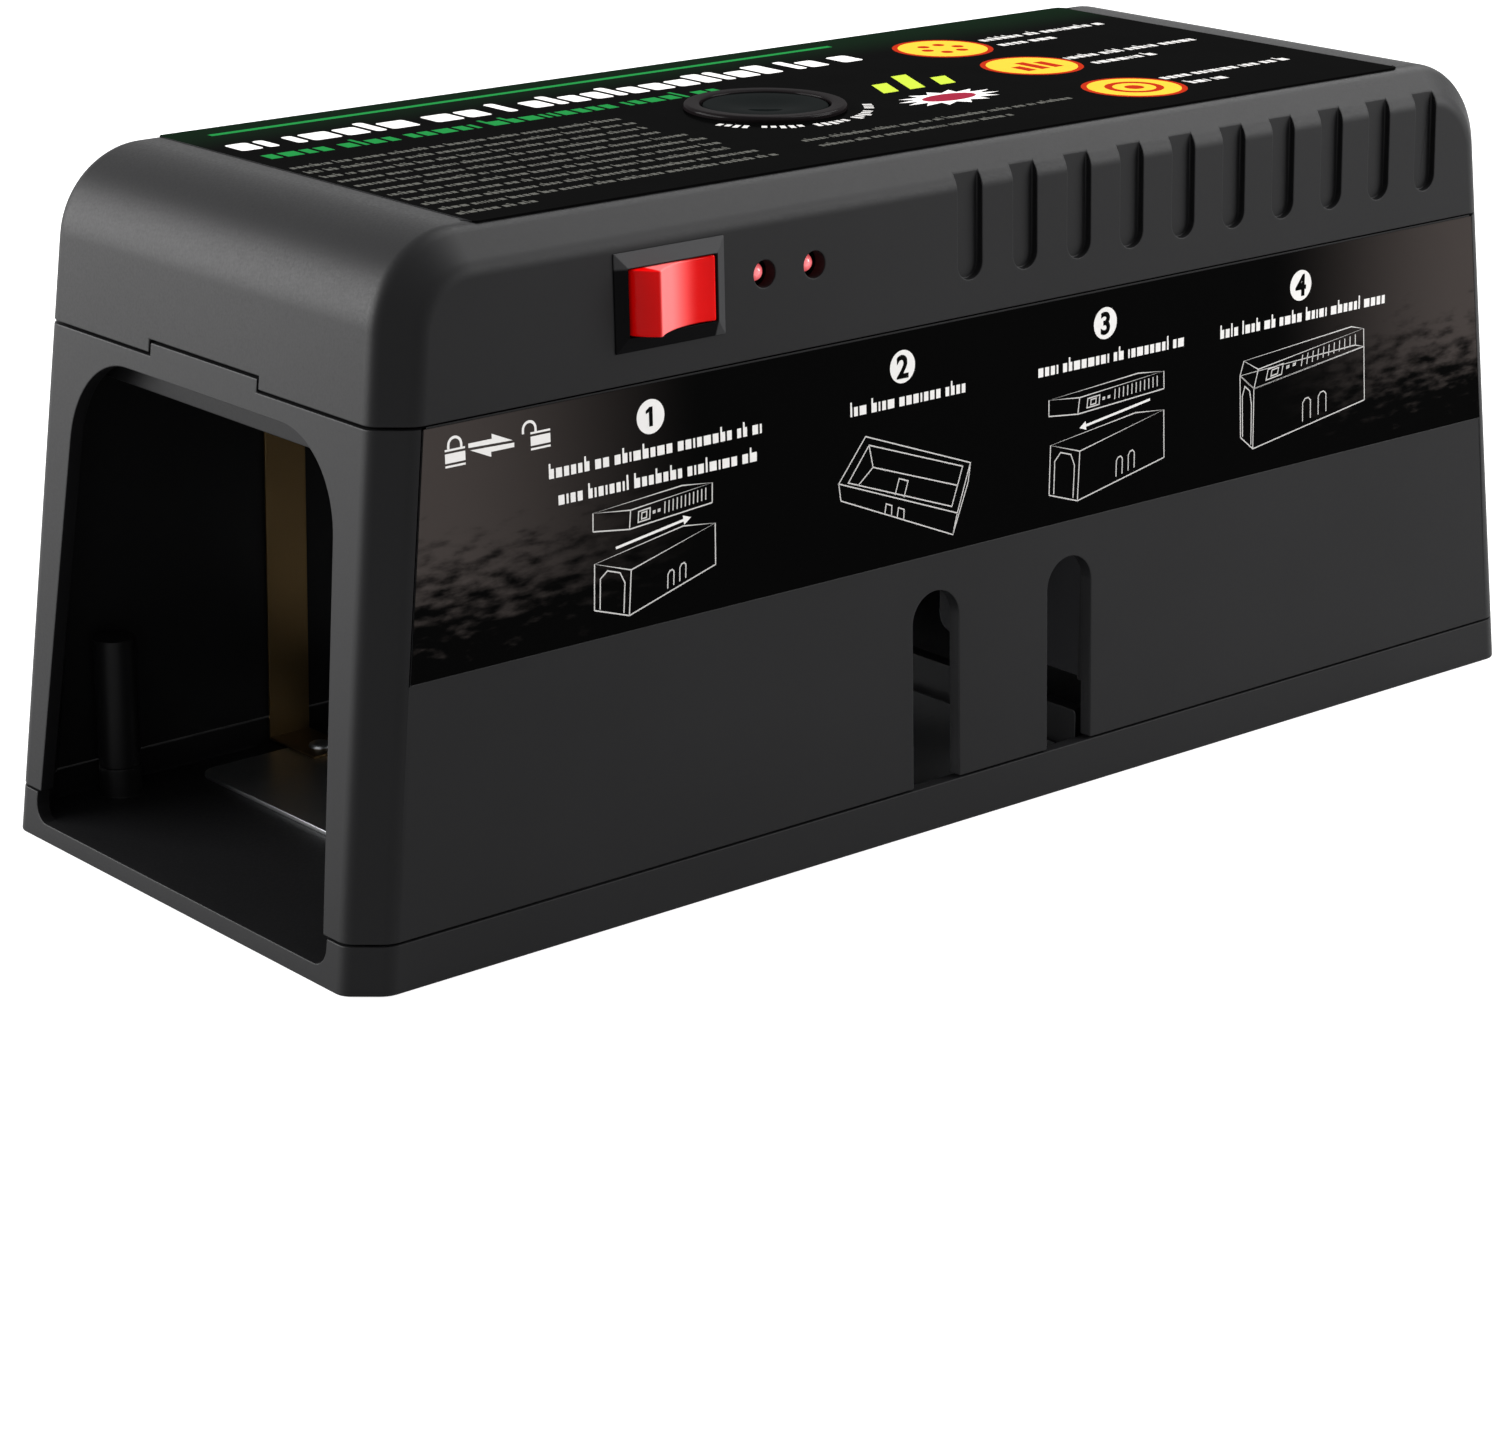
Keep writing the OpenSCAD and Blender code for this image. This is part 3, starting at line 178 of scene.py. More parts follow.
floor_half, floor_z = 12.0, -0.0002      # metres; just under the foot of the case
floor_mesh = bpy.data.meshes.new("floor")
floor_mesh.from_pydata([(x * floor_half, y * floor_half, floor_z)
                        for x, y in ((-1, -1), (1, -1), (1, 1), (-1, 1))], [], [(0, 1, 2, 3)])
floor = new_object("floor", floor_mesh)
floor_paint, tree, shader = new_material("matt white painted board")
feed(tree, shader, {
    "Base Color": linear("#a8a8a8"), "Roughness": 0.9, "Emission Color": linear("#ffffff"),
    "Emission Strength": per_ray(tree, 0.86, 0.45, 0.0)})
floor_mesh.materials.append(floor_paint)

# ---- Base ----
# The tray that the case stands on, moulded in black ABS: a floor with a low wall, the sill of
# the doorway, two ribs between the shock plates and four posts for the screws of the shell.
base_low, base_high = (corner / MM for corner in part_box("base_plate"))
case_l = base_high.x - base_low.x
case_w = base_high.y - base_low.y
case_h = 111.0
end_draft, side_draft = math.radians(6.5), math.radians(1.9)    # lean of the walls
front_round, rear_round = 15.0, 16.5
bevel_x, bevel_y = 5.4, 4.6          # of the long edges, along and across the case
edge_blend = 1.5                     # softening of both edges of the long bevels
mould_edge = 0.25                    # radius on the small edges of a moulding
wall, floor_t = 2.4, 3.0
base_z1, base_seam, shell_z0 = 7.65, 7.8, 7.95
screw_x, screw_y = 112.0, 43.4
post_r, hole_r, head_r, head_z = 3.5, 1.55, 3.0, 2.4
rib_places, rib_half, rib_top, rib_t = (-50.0, 25.0), 43.0, 10.0, 3.0
cup_stop_x, cup_stop_t, cup_stop_half, cup_stop_h = 76.0, 1.5, 30.0, 3.0
sill_half, sill_round = 41.0, 3.0
touch = 0.15                         # gap between pieces that lie side by side
past = 1                             # how far a solid runs past the face it opens or joins


def end_x(z, inset=0.0):
    return case_l / 2 - inset / math.cos(end_draft) - z * math.tan(end_draft)


def side_y(z, inset=0.0):
    return case_w / 2 - inset - z * math.tan(side_draft)


def arc(x, y, radius, start, end, steps=20):
    """Points on an arc, from the start angle to the end angle in degrees."""
    angles = [math.radians(start + (end - start) * i / steps) for i in range(steps + 1)]
    return [(x + radius * math.cos(a), y + radius * math.sin(a)) for a in angles]


def rounded(x0, y0, x1, y1, r, steps=8):
    """Rectangle with round corners."""
    return (arc(x1 - r, y0 + r, r, -90, 0, steps) + arc(x1 - r, y1 - r, r, 0, 90, steps)
            + arc(x0 + r, y1 - r, r, 90, 180, steps) + arc(x0 + r, y0 + r, r, 180, 270, steps))


def disc(x, y, radius, steps=40):
    return arc(x, y, radius, 0, 360, steps)[:-1]


def profile(inset):
    """Outline of the case from its side, (x, z), moved inwards by inset."""
    front_z, rear_z = case_h - front_round, case_h - rear_round
    front_x = front_round / math.cos(end_draft) - end_x(front_z)
    rear_x = end_x(rear_z) - rear_round / math.cos(end_draft)
    lean = math.degrees(end_draft)
    return ([(-end_x(-past, inset), -past)]
            + arc(front_x, front_z, max(0.5, front_round - inset), 180 - lean, 90)
            + arc(rear_x, rear_z, max(0.5, rear_round - inset), 90, lean)
            + [(end_x(-past, inset), -past)])


def upright(x, y, z):
    return (x, y, z)


def along_x(y, z, x):
    return (x, y, z)


def on_side(x, u, n):
    """x along the case, u up the leaning wall on the switch side, n out of it."""
    sine, cosine = math.sin(side_draft), math.cos(side_draft)
    return (x, u * sine - n * cosine - case_w / 2, u * cosine + n * sine)


def far_side(x, u, n):
    x, y, z = on_side(x, u, n)
    return (x, -y, z)


def up(z):
    """Distance up the leaning wall to height z."""
    return z / math.cos(side_draft)


def mesh_object(name, points, faces):
    """Object from points in millimetres, with its faces turned outwards."""
    mesh = bpy.data.meshes.new(name)
    shape = bmesh.new()
    corners = [shape.verts.new(Vector(p) * MM) for p in points]
    for face in faces:
        shape.faces.new([corners[i] for i in face])
    bmesh.ops.recalc_face_normals(shape, faces=shape.faces)
    shape.to_mesh(mesh)
    shape.free()
    return new_object(name, mesh)


def loft(rings, closed=False):
    """Skin over a row of rings with the same number of points; capped, or closed on itself."""
    n, m = len(rings[0]), len(rings)
    faces = [(k * n + i, k * n + (i + 1) % n, (k + 1) % m * n + (i + 1) % n, (k + 1) % m * n + i)
             for k in range(m if closed else m - 1) for i in range(n)]
    if not closed:
        faces += [tuple(range(n)), tuple(range((m - 1) * n, m * n))]
    return mesh_object("loft", [p for ring in rings for p in ring], faces)


def prism(outline, low, high, place=upright):
    """Solid between two depths with the given outline, put where place says."""
    return loft([[place(a, b, depth) for a, b in outline] for depth in (low, high)])


def bar(x0, x1, y0, y1):
    """Outline of a rectangle."""
    return [(x0, y0), (x1, y0), (x1, y1), (x0, y1)]


def block(x0, x1, y0, y1, z0, z1):
    return prism(bar(x0, x1, y0, y1), z0, z1)


def joined(objects):
    """One object with the meshes of several."""
    first, *others = objects
    shape = bmesh.new()
    for o in (first, *others):
        shape.from_mesh(o.data)
    shape.to_mesh(first.data)
    shape.free()
    for o in others:
        bpy.data.objects.remove(o)
    return first


def settle(piece):
    """Applies the modifiers, so that the piece is a plain mesh."""
    seen = piece.evaluated_get(bpy.context.evaluated_depsgraph_get())
    mesh = bpy.data.meshes.new_from_object(seen)
    piece.modifiers.clear()
    piece.data = mesh
    return piece


def combine(piece, other, operation="DIFFERENCE"):
    """Cuts, joins, or keeps what is common, and takes the other solid away."""
    step = piece.modifiers.new("combine", "BOOLEAN")
    step.operation, step.solver, step.object = operation, "EXACT", other
    settle(piece)
    bpy.data.objects.remove(other)
    return piece


def shade(piece, angle=40):
    """Smooth shading with flat faces kept flat up to their rounded edges."""
    for face in piece.data.polygons:
        face.use_smooth = True
    piece.data.set_sharp_from_angle(angle=math.radians(angle))
    step = piece.modifiers.new("shading", "WEIGHTED_NORMAL")
    step.keep_sharp = True
    return settle(piece)


def soften(piece, width=mould_edge, angle=30, segments=2):
    """Rounds the edges to the given radius, then shades the piece."""
    step = piece.modifiers.new("edges", "BEVEL")
    step.width, step.segments, step.limit_method = width * MM, segments, "ANGLE"
    step.angle_limit = math.radians(angle)
    step.use_clamp_overlap = False
    settle(piece)
    return shade(piece)


def bevel_path(e):
    """Insets, along the profile and from the side, over a long bevel with softened edges."""
    def blend(a, corner, b, steps=5):
        ts = [i / steps for i in range(steps + 1)]
        return [tuple(p * (1 - t) ** 2 + q * 2 * t * (1 - t) + r * t * t
                      for p, q, r in zip(a, corner, b)) for t in ts]
    length = math.hypot(bevel_x, bevel_y)
    dx, dy = bevel_x * e / length, bevel_y * e / length
    return (blend((bevel_x + e, 0), (bevel_x, 0), (bevel_x - dx, dy))
            + blend((dx, bevel_y - dy), (0, bevel_y), (0, bevel_y + e)))


def case_solid(inset, path):
    """The whole case: leaning walls, rounded ends and bevelled long edges, moved inwards."""
    def ring(in_profile, in_side, side):
        return [(x, side * side_y(z, in_side), z) for x, z in profile(in_profile)]
    return loft([ring(inset + p, inset + s, -1) for p, s in path]
                + [ring(inset + p, inset + s, 1) for p, s in reversed(path)])


def outer_case():
    return case_solid(0, bevel_path(edge_blend))


def inner_case(inset=wall):
    return case_solid(inset, [(bevel_x, 0), (0, bevel_y)])


def level(z0, z1):
    """Everything between two heights."""
    return block(-case_l, case_l, -case_w, case_w, z0, z1)


def dress(piece, name, body, slot_name, material, *nodes):
    """Names a finished piece, gives it its finish, says what it moves with, and hides the CAD parts
    that it stands for.
    """
    piece.name = piece.data.name = name
    piece.data.materials.clear()
    piece.data.materials.append(material)
    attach(piece, body)
    if nodes:
        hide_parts(*nodes)
    return piece


def moulded_abs(name, hex_code, roughness):
    """ABS moulded in a spark-eroded tool: an even colour with a satin, finely pebbled skin. The
    real grain of about 0.1 mm is drawn four times coarser, so that it shows."""
    made, tree, shader = new_material(name)
    place = add(tree, "ShaderNodeTexCoord").outputs["Object"]
    grain = add(tree, "ShaderNodeTexNoise", {
        "Vector": place, "Scale": 1 / (0.4 * MM), "Detail": 2.0})
    cloud = add(tree, "ShaderNodeTexNoise", {"Vector": place, "Scale": 24.0, "Detail": 3.0})
    tint = add(tree, "ShaderNodeValToRGB", {"Fac": cloud})
    for stop, position, share in zip(tint.color_ramp.elements, (0.3, 0.7), (0.88, 1.12)):
        stop.position, stop.color = position, [c * share for c in linear(hex_code)]
    dull = add(tree, "ShaderNodeMapRange", {
        "Value": grain, "From Min": 0.25, "From Max": 0.75, "To Min": roughness - 0.06,
        "To Max": roughness + 0.06})
    pebble = add(tree, "ShaderNodeBump", {"Height": grain, "Strength": 0.15, "Distance": 0.04 * MM})
    feed(tree, shader, {
        "Base Color": tint, "Roughness": dull, "Normal": pebble, "IOR": 1.53,
        "Specular IOR Level": 0.1})
    return made


def pegs(xs, ys, radius, z0, z1):
    """Round posts, or the cutters of round holes, at every x and y."""
    return joined([prism(disc(x, y, radius), z0, z1) for x in xs for y in ys])


def corner_pegs(radius, z0, z1):
    return pegs((-screw_x, screw_x), (-screw_y, screw_y), radius, z0, z1)


def add_inside(piece, other):
    """Joins the other solid to the piece, cut off at the middle of the wall."""
    combine(piece, combine(other, inner_case(wall / 2), "INTERSECT"), "UNION")


case_abs = moulded_abs("spark-textured black ABS", "#131314", 0.45)
base = combine(outer_case(), level(0, base_z1), "INTERSECT")
combine(base, combine(inner_case(), level(floor_t, case_h), "INTERSECT"))
for x in rib_places:
    combine(base, prism(rounded(-rib_half, floor_t - past, rib_half, rib_top, 1),
                        x - rib_t / 2, x + rib_t / 2, along_x), "UNION")
add_inside(base, corner_pegs(post_r, floor_t - past, shell_z0))
combine(base, block(cup_stop_x, cup_stop_x + cup_stop_t, -cup_stop_half, cup_stop_half,
                    floor_t - past, floor_t + cup_stop_h), "UNION")
sill = (arc(sill_half - sill_round, floor_t + sill_round, sill_round, -90, 0, 8)
        + [(sill_half, base_z1 + 2), (-sill_half, base_z1 + 2)]
        + arc(sill_round - sill_half, floor_t + sill_round, sill_round, 180, 270, 8))
combine(base, prism(sill, -case_l, touch - end_x(0, wall + 4), along_x))
combine(base, corner_pegs(hole_r, -past, shell_z0 + 2 * past))
combine(base, corner_pegs(head_r, -past, head_z))
dress(soften(base), "base_tray", "root", "case_abs", case_abs, "base_plate")

# ---- Tunnel shell ----
# The middle of the case, moulded in the same ABS: four leaning walls, a rounded doorway with a
# bar behind its upper edge, two view slots in each side, and flanges that the cover hooks under.
shell_z1 = 83.8
tongue_half, tongue_top = 14.5, 85.8
door_half, door_lean, door_top, door_round = 40.0, math.radians(3.85), 80.6, 15.0
lintel_in, lintel_t, lintel_h, lintel_drop = 3.0, 3.0, 3.3, 1.7
bracket_l, bracket_t = 5.0, 1.4
slot_x, slot_r, slot_top = 15.0, 5.0, 40.4
post_h = 22
flange_in, flange_t = 41.5, 2.4
rail_in, rail_out, rail_z0, slide_gap = 39.3, 43.9, 76.6, 0.4
rail_gate = case_l / 2 - 25          # from here to the bait end the rails can leave the shell
baffle_x, baffle_z, baffle_t, groove_rib_t = 25.0, 16.0, 2.0, 1.2
strip_places, strip_half, strip_t = (-76.0, -33.0, 50.0), 4.0, 0.5
label_recess = 0.15
side_label_z, side_label_margin = 46.6, 1.0

door_z = door_top - door_round
door_y = door_half - (door_z - base_seam) * math.tan(door_lean) - door_round / math.cos(door_lean)
foot_y = door_half + (base_seam + past) * math.tan(door_lean)
lean_deg = math.degrees(door_lean)
doorway = ([(foot_y, -past)] + arc(door_y, door_z, door_round, lean_deg, 90)
           + arc(-door_y, door_z, door_round, 90, 180 - lean_deg) + [(-foot_y, -past)])


def both_sides(make):
    """The solid that make returns for the switch side and for the far side."""
    return joined([make(on_side), make(far_side)])


def mirrored_block(x0, x1, y0, y1, z0, z1):
    return joined([block(x0, x1, y0, y1, z0, z1), block(x0, x1, -y1, -y0, z0, z1)])


def side_slots(place):
    return joined([prism([(x - slot_r, -past), (x + slot_r, -past)]
                         + arc(x, up(slot_top) - slot_r, slot_r, 0, 180), -wall - 2, 2, place)
                   for x in (-slot_x, slot_x)])


def side_label_outline(grow=0.0):
    z0, z1 = side_label_z - grow, shell_z1 + grow
    half0, half1 = (end_x(z, bevel_x) - side_label_margin + grow for z in (z0, z1))
    return [(-half0, up(z0)), (half0, up(z0)), (half1, up(z1)), (-half1, up(z1))]


shell_zone = combine(level(shell_z0, shell_z1),
                     block(-case_l, 0, -tongue_half, tongue_half, shell_z1 - past, tongue_top),
                     "UNION")
shell = combine(combine(outer_case(), inner_case()), shell_zone, "INTERSECT")
add_inside(shell, mirrored_block(-case_l / 2, case_l / 2, flange_in, case_w,
                                 shell_z1 - flange_t, shell_z1))
add_inside(shell, corner_pegs(post_r, shell_z0, shell_z0 + post_h))
lintel_x = lintel_in - end_x(door_top, wall)
lintel_z1 = door_top - lintel_drop
lintel_z0 = lintel_z1 - lintel_h
bar_half = rail_in - 0.8
lintel = combine(block(lintel_x, lintel_x + lintel_t, -bar_half, bar_half, lintel_z0, lintel_z1),
                 mirrored_block(lintel_x - bracket_l, lintel_x + lintel_t, bar_half - bracket_t,
                                bar_half, lintel_z0, lintel_z1), "UNION")
add_inside(shell, lintel)
groove_y = 1.6 - side_y(rail_z0, wall)
groove_dx = baffle_t / 2 + touch + groove_rib_t / 2
add_inside(shell, joined([block(x - groove_rib_t / 2, x + groove_rib_t / 2, -case_w, groove_y,
                                baffle_z, rail_z0 - 1)
                          for x in (baffle_x - groove_dx, baffle_x + groove_dx)]))
combine(shell, prism(doorway, -case_l, 0.5 - end_x(door_top, wall), along_x))
combine(shell, both_sides(side_slots))
combine(shell, mirrored_block(rail_gate, case_l, rail_in - slide_gap, rail_out + slide_gap,
                              rail_z0 - slide_gap, shell_z1 + past))
combine(shell, corner_pegs(hole_r, -past, shell_z0 + 12))
strip_y = side_y(shell_z1, wall)
for x in strip_places:
    x0, x1 = x - strip_half - touch, x + strip_half + touch
    combine(shell, block(x0, x1, strip_y - strip_t - 2 * touch, strip_y, -past, case_h))
    combine(shell, block(x0, x1, flange_in - past, strip_y - touch,
                         shell_z1 - strip_t - touch - 0.1, case_h))
combine(shell, prism(side_label_outline(), -label_recess, past, on_side))
dress(soften(shell), "tunnel_shell", "root", "case_abs", case_abs, "body_shell")

# ---- Cover ----
# The lid with the batteries and the circuit. It slides off towards the bait end. Ten grooves on
# each side give the fingers a hold, and a notch over the doorway keys it to the shell's tongue.
cover_z0 = 84.2
groove_count, groove_pitch, groove_last = 10, 12.04, 101.06
groove_half, groove_depth, groove_z = 2.6, 1.2, 90.0
switch_x, switch_z = -68.4, 96.6
lamp_x, lamp_pitch, lamp_z, lamp_hole_r = -49.8, 10.0, 97.0, 2.1
lamp_places = (lamp_x, lamp_x + lamp_pitch)
button_x, button_y, collar_hole_r = -10.5, -1.0, 12.0
top_label_x0, top_label_x1 = -100.3, 98.8
tray_screw_xs, tray_screw_ys = (-98.0, 106.0), (-33.5, 33.5)
tray_post_r, tray_post_z = 4, 88.45


def sized_tree(name, sizes):
    """Starts a Geometry Nodes tree that takes a mesh, the named sizes and a material."""
    tree = bpy.data.node_groups.new(name, "GeometryNodeTree")
    for label, kind in {"Geometry": "Geometry", **sizes, "Material": "Material"}.items():
        tree.interface.new_socket(label, in_out="INPUT", socket_type="NodeSocket" + kind)
    tree.interface.new_socket("Geometry", in_out="OUTPUT", socket_type="NodeSocketGeometry")
    return tree, add(tree, "NodeGroupInput").outputs


def end_tree(tree, given, shape):
    """Ends the tree: makes its copies real and gives them the material."""
    real = add(tree, "GeometryNodeRealizeInstances", {"Geometry": shape})
    finished = add(tree, "GeometryNodeSetMaterial", {
        "Geometry": real, "Material": given["Material"]})
    add(tree, "NodeGroupOutput", {"Geometry": finished})
    return tree


def run_tree(piece, tree, values):
    """Runs the tree on the piece with these values and makes the result a plain mesh."""
    step = piece.modifiers.new(tree.name, "NODES")
    step.node_group = tree
    for socket in tree.interface.items_tree:
        if socket.name in values:
            step[socket.identifier] = values[socket.name]
    return settle(piece)


def lattice_tree():
    """Repeats its mesh along one step and then along another."""
    tree, given = sized_tree("lattice", {"Along Count": "Int", "Along Step": "Vector",
                                         "Across Count": "Int", "Across Step": "Vector"})
    row = add(tree, "GeometryNodeMeshLine", {
        "Count": given["Along Count"], "Offset": given["Along Step"]})
    one = add(tree, "GeometryNodeInstanceOnPoints", {"Points": row, "Instance": given["Geometry"]})
    rows = add(tree, "GeometryNodeMeshLine", {
        "Count": given["Across Count"], "Offset": given["Across Step"]})
    whole = add(tree, "GeometryNodeInstanceOnPoints", {"Points": rows, "Instance": one})
    return end_tree(tree, given, whole)


lattice = lattice_tree()


def repeated(piece, material, along=1, step=(0, 0, 0), across=1, across_step=(0, 0, 0)):
    """The piece again and again, at steps in millimetres, as one plain mesh."""
    return run_tree(piece, lattice, {"Along Count": along, "Along Step": [s * MM for s in step],
                                     "Across Count": across, "Material": material,
                                     "Across Step": [s * MM for s in across_step]})


def grip_grooves(place):
    x, u = groove_last, up(groove_z) + groove_half
    first = prism(arc(x, u, groove_half, 180, 360)
                  + [(x + groove_half, up(case_h)), (x - groove_half, up(case_h))],
                  -groove_depth, bevel_y + past, place)
    return repeated(first, case_abs, groove_count, (-groove_pitch, 0, 0))


def top_label_outline(grow=0.0):
    half = side_y(case_h, bevel_y) + grow
    return rounded(top_label_x0 - grow, -half, top_label_x1 + grow, half, 1)


rail_lugs = mirrored_block(rail_gate, case_l, rail_in, rail_out, rail_z0, cover_z0 + past)
cover_zone = combine(level(cover_z0, case_h + 5), rail_lugs, "UNION")
cover = combine(combine(outer_case(), inner_case()), cover_zone, "INTERSECT")
add_inside(cover, pegs(tray_screw_xs, tray_screw_ys, tray_post_r, tray_post_z, case_h))
notch_half = tongue_half + slide_gap
combine(cover, block(-case_l, -rail_gate, -notch_half, notch_half, 0, tongue_top + slide_gap))
combine(cover, both_sides(grip_grooves))
switch_hole = bar(switch_x - 9.65, switch_x + 9.65, up(switch_z) - 6.5, up(switch_z) + 6.5)
combine(cover, prism(switch_hole, -wall - past, past, on_side))
combine(cover, joined([prism(disc(x, up(lamp_z), lamp_hole_r), -wall - past, past, on_side)
                       for x in lamp_places]))
combine(cover, prism(disc(button_x, button_y, collar_hole_r), case_h - wall - past, case_h + past))
combine(cover, pegs(tray_screw_xs, tray_screw_ys, hole_r, 87, 98))
combine(cover, prism(top_label_outline(), case_h - label_recess, case_h + past))
dress(soften(cover), "cover", "cover", "case_abs", case_abs, "top_cover")

# ---- Side label ----
# Glossy black laminate with a printed face, stuck into a shallow recess of the shell. The print
# is a generic set of numbered steps, with rows of plain blocks in the place of words.
film_t, ink_t = 0.25, 0.02
side_face = film_t - label_recess


def label_film(name, axis, start, end, pale_hex, mirrored=False):
    """Black polyester laminate, glossy and a little wavy. It turns paler between two distances
    along an axis, with a ragged lower edge: on the top label this is a printed green glow, on
    the side label a painted reflection of the film's gloss."""
    made, tree, shader = new_material(name)
    place = add(tree, "ShaderNodeTexCoord").outputs["Object"]
    across = add(tree, "ShaderNodeSeparateXYZ", {0: place}).outputs
    along = across[axis]
    if mirrored:
        along = add(tree, "ShaderNodeMath", {0: along}, operation="ABSOLUTE")
    # Paler band: printed glow on the top label, painted reflection on the side label.
    printed_glow_and_reflection = add(tree, "ShaderNodeMapRange", {
        "Value": along, "From Min": start * MM, "From Max": end * MM},
        interpolation_type="SMOOTHSTEP")
    drawn = add(tree, "ShaderNodeMapping", {"Vector": place, "Scale": (0.5, 1.0, 1.5)})
    crease = add(tree, "ShaderNodeTexNoise", {"Vector": drawn, "Scale": 450.0, "Detail": 4.0})
    ragged = add(tree, "ShaderNodeMath", {
        0: crease, 1: 34 * MM, 2: across["Z"]}, operation="MULTIPLY_ADD")
    ragged_upper_part = add(tree, "ShaderNodeMapRange", {
        "Value": ragged, "From Min": 69 * MM, "From Max": 85 * MM}, interpolation_type="SMOOTHSTEP")
    pale = add(tree, "ShaderNodeMath", {0: printed_glow_and_reflection, 1: ragged_upper_part}, operation="MULTIPLY")
    tint = add(tree, "ShaderNodeMix", {
        0: pale, 6: linear("#040404"), 7: linear(pale_hex)}, data_type="RGBA")
    swell = add(tree, "ShaderNodeTexNoise", {"Vector": place, "Scale": 45.0, "Detail": 2.0})
    height = add(tree, "ShaderNodeMath", {0: crease, 1: 0.05, 2: swell}, operation="MULTIPLY_ADD")
    wave = add(tree, "ShaderNodeBump", {"Height": height, "Strength": 0.5, "Distance": 0.5 * MM})
    feed(tree, shader, {
        "Base Color": tint, "Roughness": 0.4, "Normal": wave, "Specular IOR Level": 0.0,
        "Coat Weight": 0.014, "Coat Roughness": 0.12, "Coat Normal": wave})
    return made


def ink(name, hex_code):
    """Screen-printed ink under the laminate: flat and even, with a trace of mottling."""
    made, tree, shader = new_material(name)
    place = add(tree, "ShaderNodeTexCoord").outputs["Object"]
    mottle = add(tree, "ShaderNodeTexNoise", {"Vector": place, "Scale": 260.0, "Detail": 2.0})
    tint = add(tree, "ShaderNodeMix", {
        0: mottle, 6: [c * 0.9 for c in linear(hex_code)], 7: linear(hex_code)}, data_type="RGBA")
    feed(tree, shader, {"Base Color": tint, "Roughness": 0.35, "Specular IOR Level": 0.0})
    return made


def printed(name, outlines, place, face, body, material):
    """Thin raised layer of ink in the given outlines."""
    layer = joined([prism(outline, face, face + ink_t, place) for outline in outlines])
    return dress(layer, name, body, "label_film", material)


def on_side_label(name, outlines, material, below=0):
    """Print on the side label, over this many inks."""
    printed(name, outlines, on_side, side_face + below * ink_t, "root", material)


def stroke(points, width):
    """Outlines of the pieces of a line, mitred at its bends. A line that ends at its start is a
    ring."""
    at = [complex(x, y) for x, y in points]
    ways = [(b - a) / abs(b - a) for a, b in zip(at, at[1:])]
    ring = abs(at[0] - at[-1]) < 1e-6
    before, after = (ways[-1:], ways[:1]) if ring else (ways[:1], ways[-1:])
    mitres = [1j * (a + b) / max(0.6, 1 + (a * b.conjugate()).real) * width / 2
              for a, b in zip(before + ways, ways + after)]
    return [[(c.real, c.imag) for c in (p - m, q - n, q + n, p + m)]
            for p, q, m, n in zip(at, at[1:], mitres, mitres[1:])]


def block_row(x0, x1, y, height, seed, longest=8):
    """Plain blocks in word-like groups along a line, in the place of print."""
    low, stem, gap, word_gap = (share * height for share in (0.64, 0.14, 0.17, 0.3))
    dice = random.Random(seed)
    row, x, left = [], x0, dice.randint(3, longest)
    while x < x1 - 0.4 * height:
        if left == 0:
            x += word_gap
            left = dice.randint(2, longest)
        width = height * dice.choice((0.16, 0.34, 0.4, 0.4, 0.48, 0.6))
        row.append(bar(x, x + width, y, y + low))
        if dice.random() < 0.25:
            row.append(bar(x, x + stem, y + low, y + height))
        x += width + gap
        left -= 1
    return row


def numeral(figure, x, u, height):
    """A plain figure from the built-in font, as a thin layer on its white disc."""
    text = bpy.data.curves.new("figure", "FONT")
    text.body, text.size = figure, height * 1.4 * MM
    text.offset = 0.045 * height * MM                 # makes the strokes bolder
    flat = new_object("figure", text)
    seen = flat.evaluated_get(bpy.context.evaluated_depsgraph_get())
    mesh = bpy.data.meshes.new_from_object(seen)
    bpy.data.objects.remove(flat)
    middle = [(min(row) + max(row)) / 2 / MM for row in zip(*(v.co for v in mesh.vertices))]
    shape = bmesh.new()
    shape.from_mesh(mesh)
    bmesh.ops.remove_doubles(shape, verts=shape.verts, dist=1e-6)
    grown = bmesh.ops.extrude_face_region(shape, geom=shape.faces[:])
    upper = {v for v in grown["geom"] if isinstance(v, bmesh.types.BMVert)}
    for v in shape.verts:
        depth = side_face + ink_t * (2 if v in upper else 1)
        v.co = Vector(on_side(x + v.co.x / MM - middle[0], u + v.co.y / MM - middle[1], depth)) * MM
    bmesh.ops.recalc_face_normals(shape, faces=shape.faces)
    shape.to_mesh(mesh)
    shape.free()
    dress(new_object("numeral", mesh), "numeral_" + figure, "root", "label_film", black_ink)


def drawn_box(low, top):
    """The nine seen edges of a box, from its corners: left, near and far at the bottom, and left,
    near, far and back at the top."""
    return [top + top[:1], low] + [[a, b] for a, b in zip(low, top)]


def on_wall(low, top, which, points):
    """Points across a drawn wall: 0 is the end wall and 1 the long one."""
    line = []
    for s, t in points:
        foot, head = ([a + (b - a) * s for a, b in zip(row[which], row[which + 1])]
                      for row in (low, top))
        line.append(tuple(a + (b - a) * t for a, b in zip(foot, head)))
    return line


def arrow(x0, z0, x1, z1, width=0.4, head=1.5):
    """Outlines of a straight arrow."""
    u0, u1 = up(z0), up(z1)
    length = math.hypot(x1 - x0, u1 - u0)
    dx, du = (x1 - x0) / length, (u1 - u0) / length
    neck_x, neck_u = x1 - dx * head, u1 - du * head
    return stroke([(x0, u0), (neck_x, neck_u)], width) + [
        [(neck_x + du * head / 2, neck_u - dx * head / 2), (x1, u1),
         (neck_x - du * head / 2, neck_u + dx * head / 2)]]
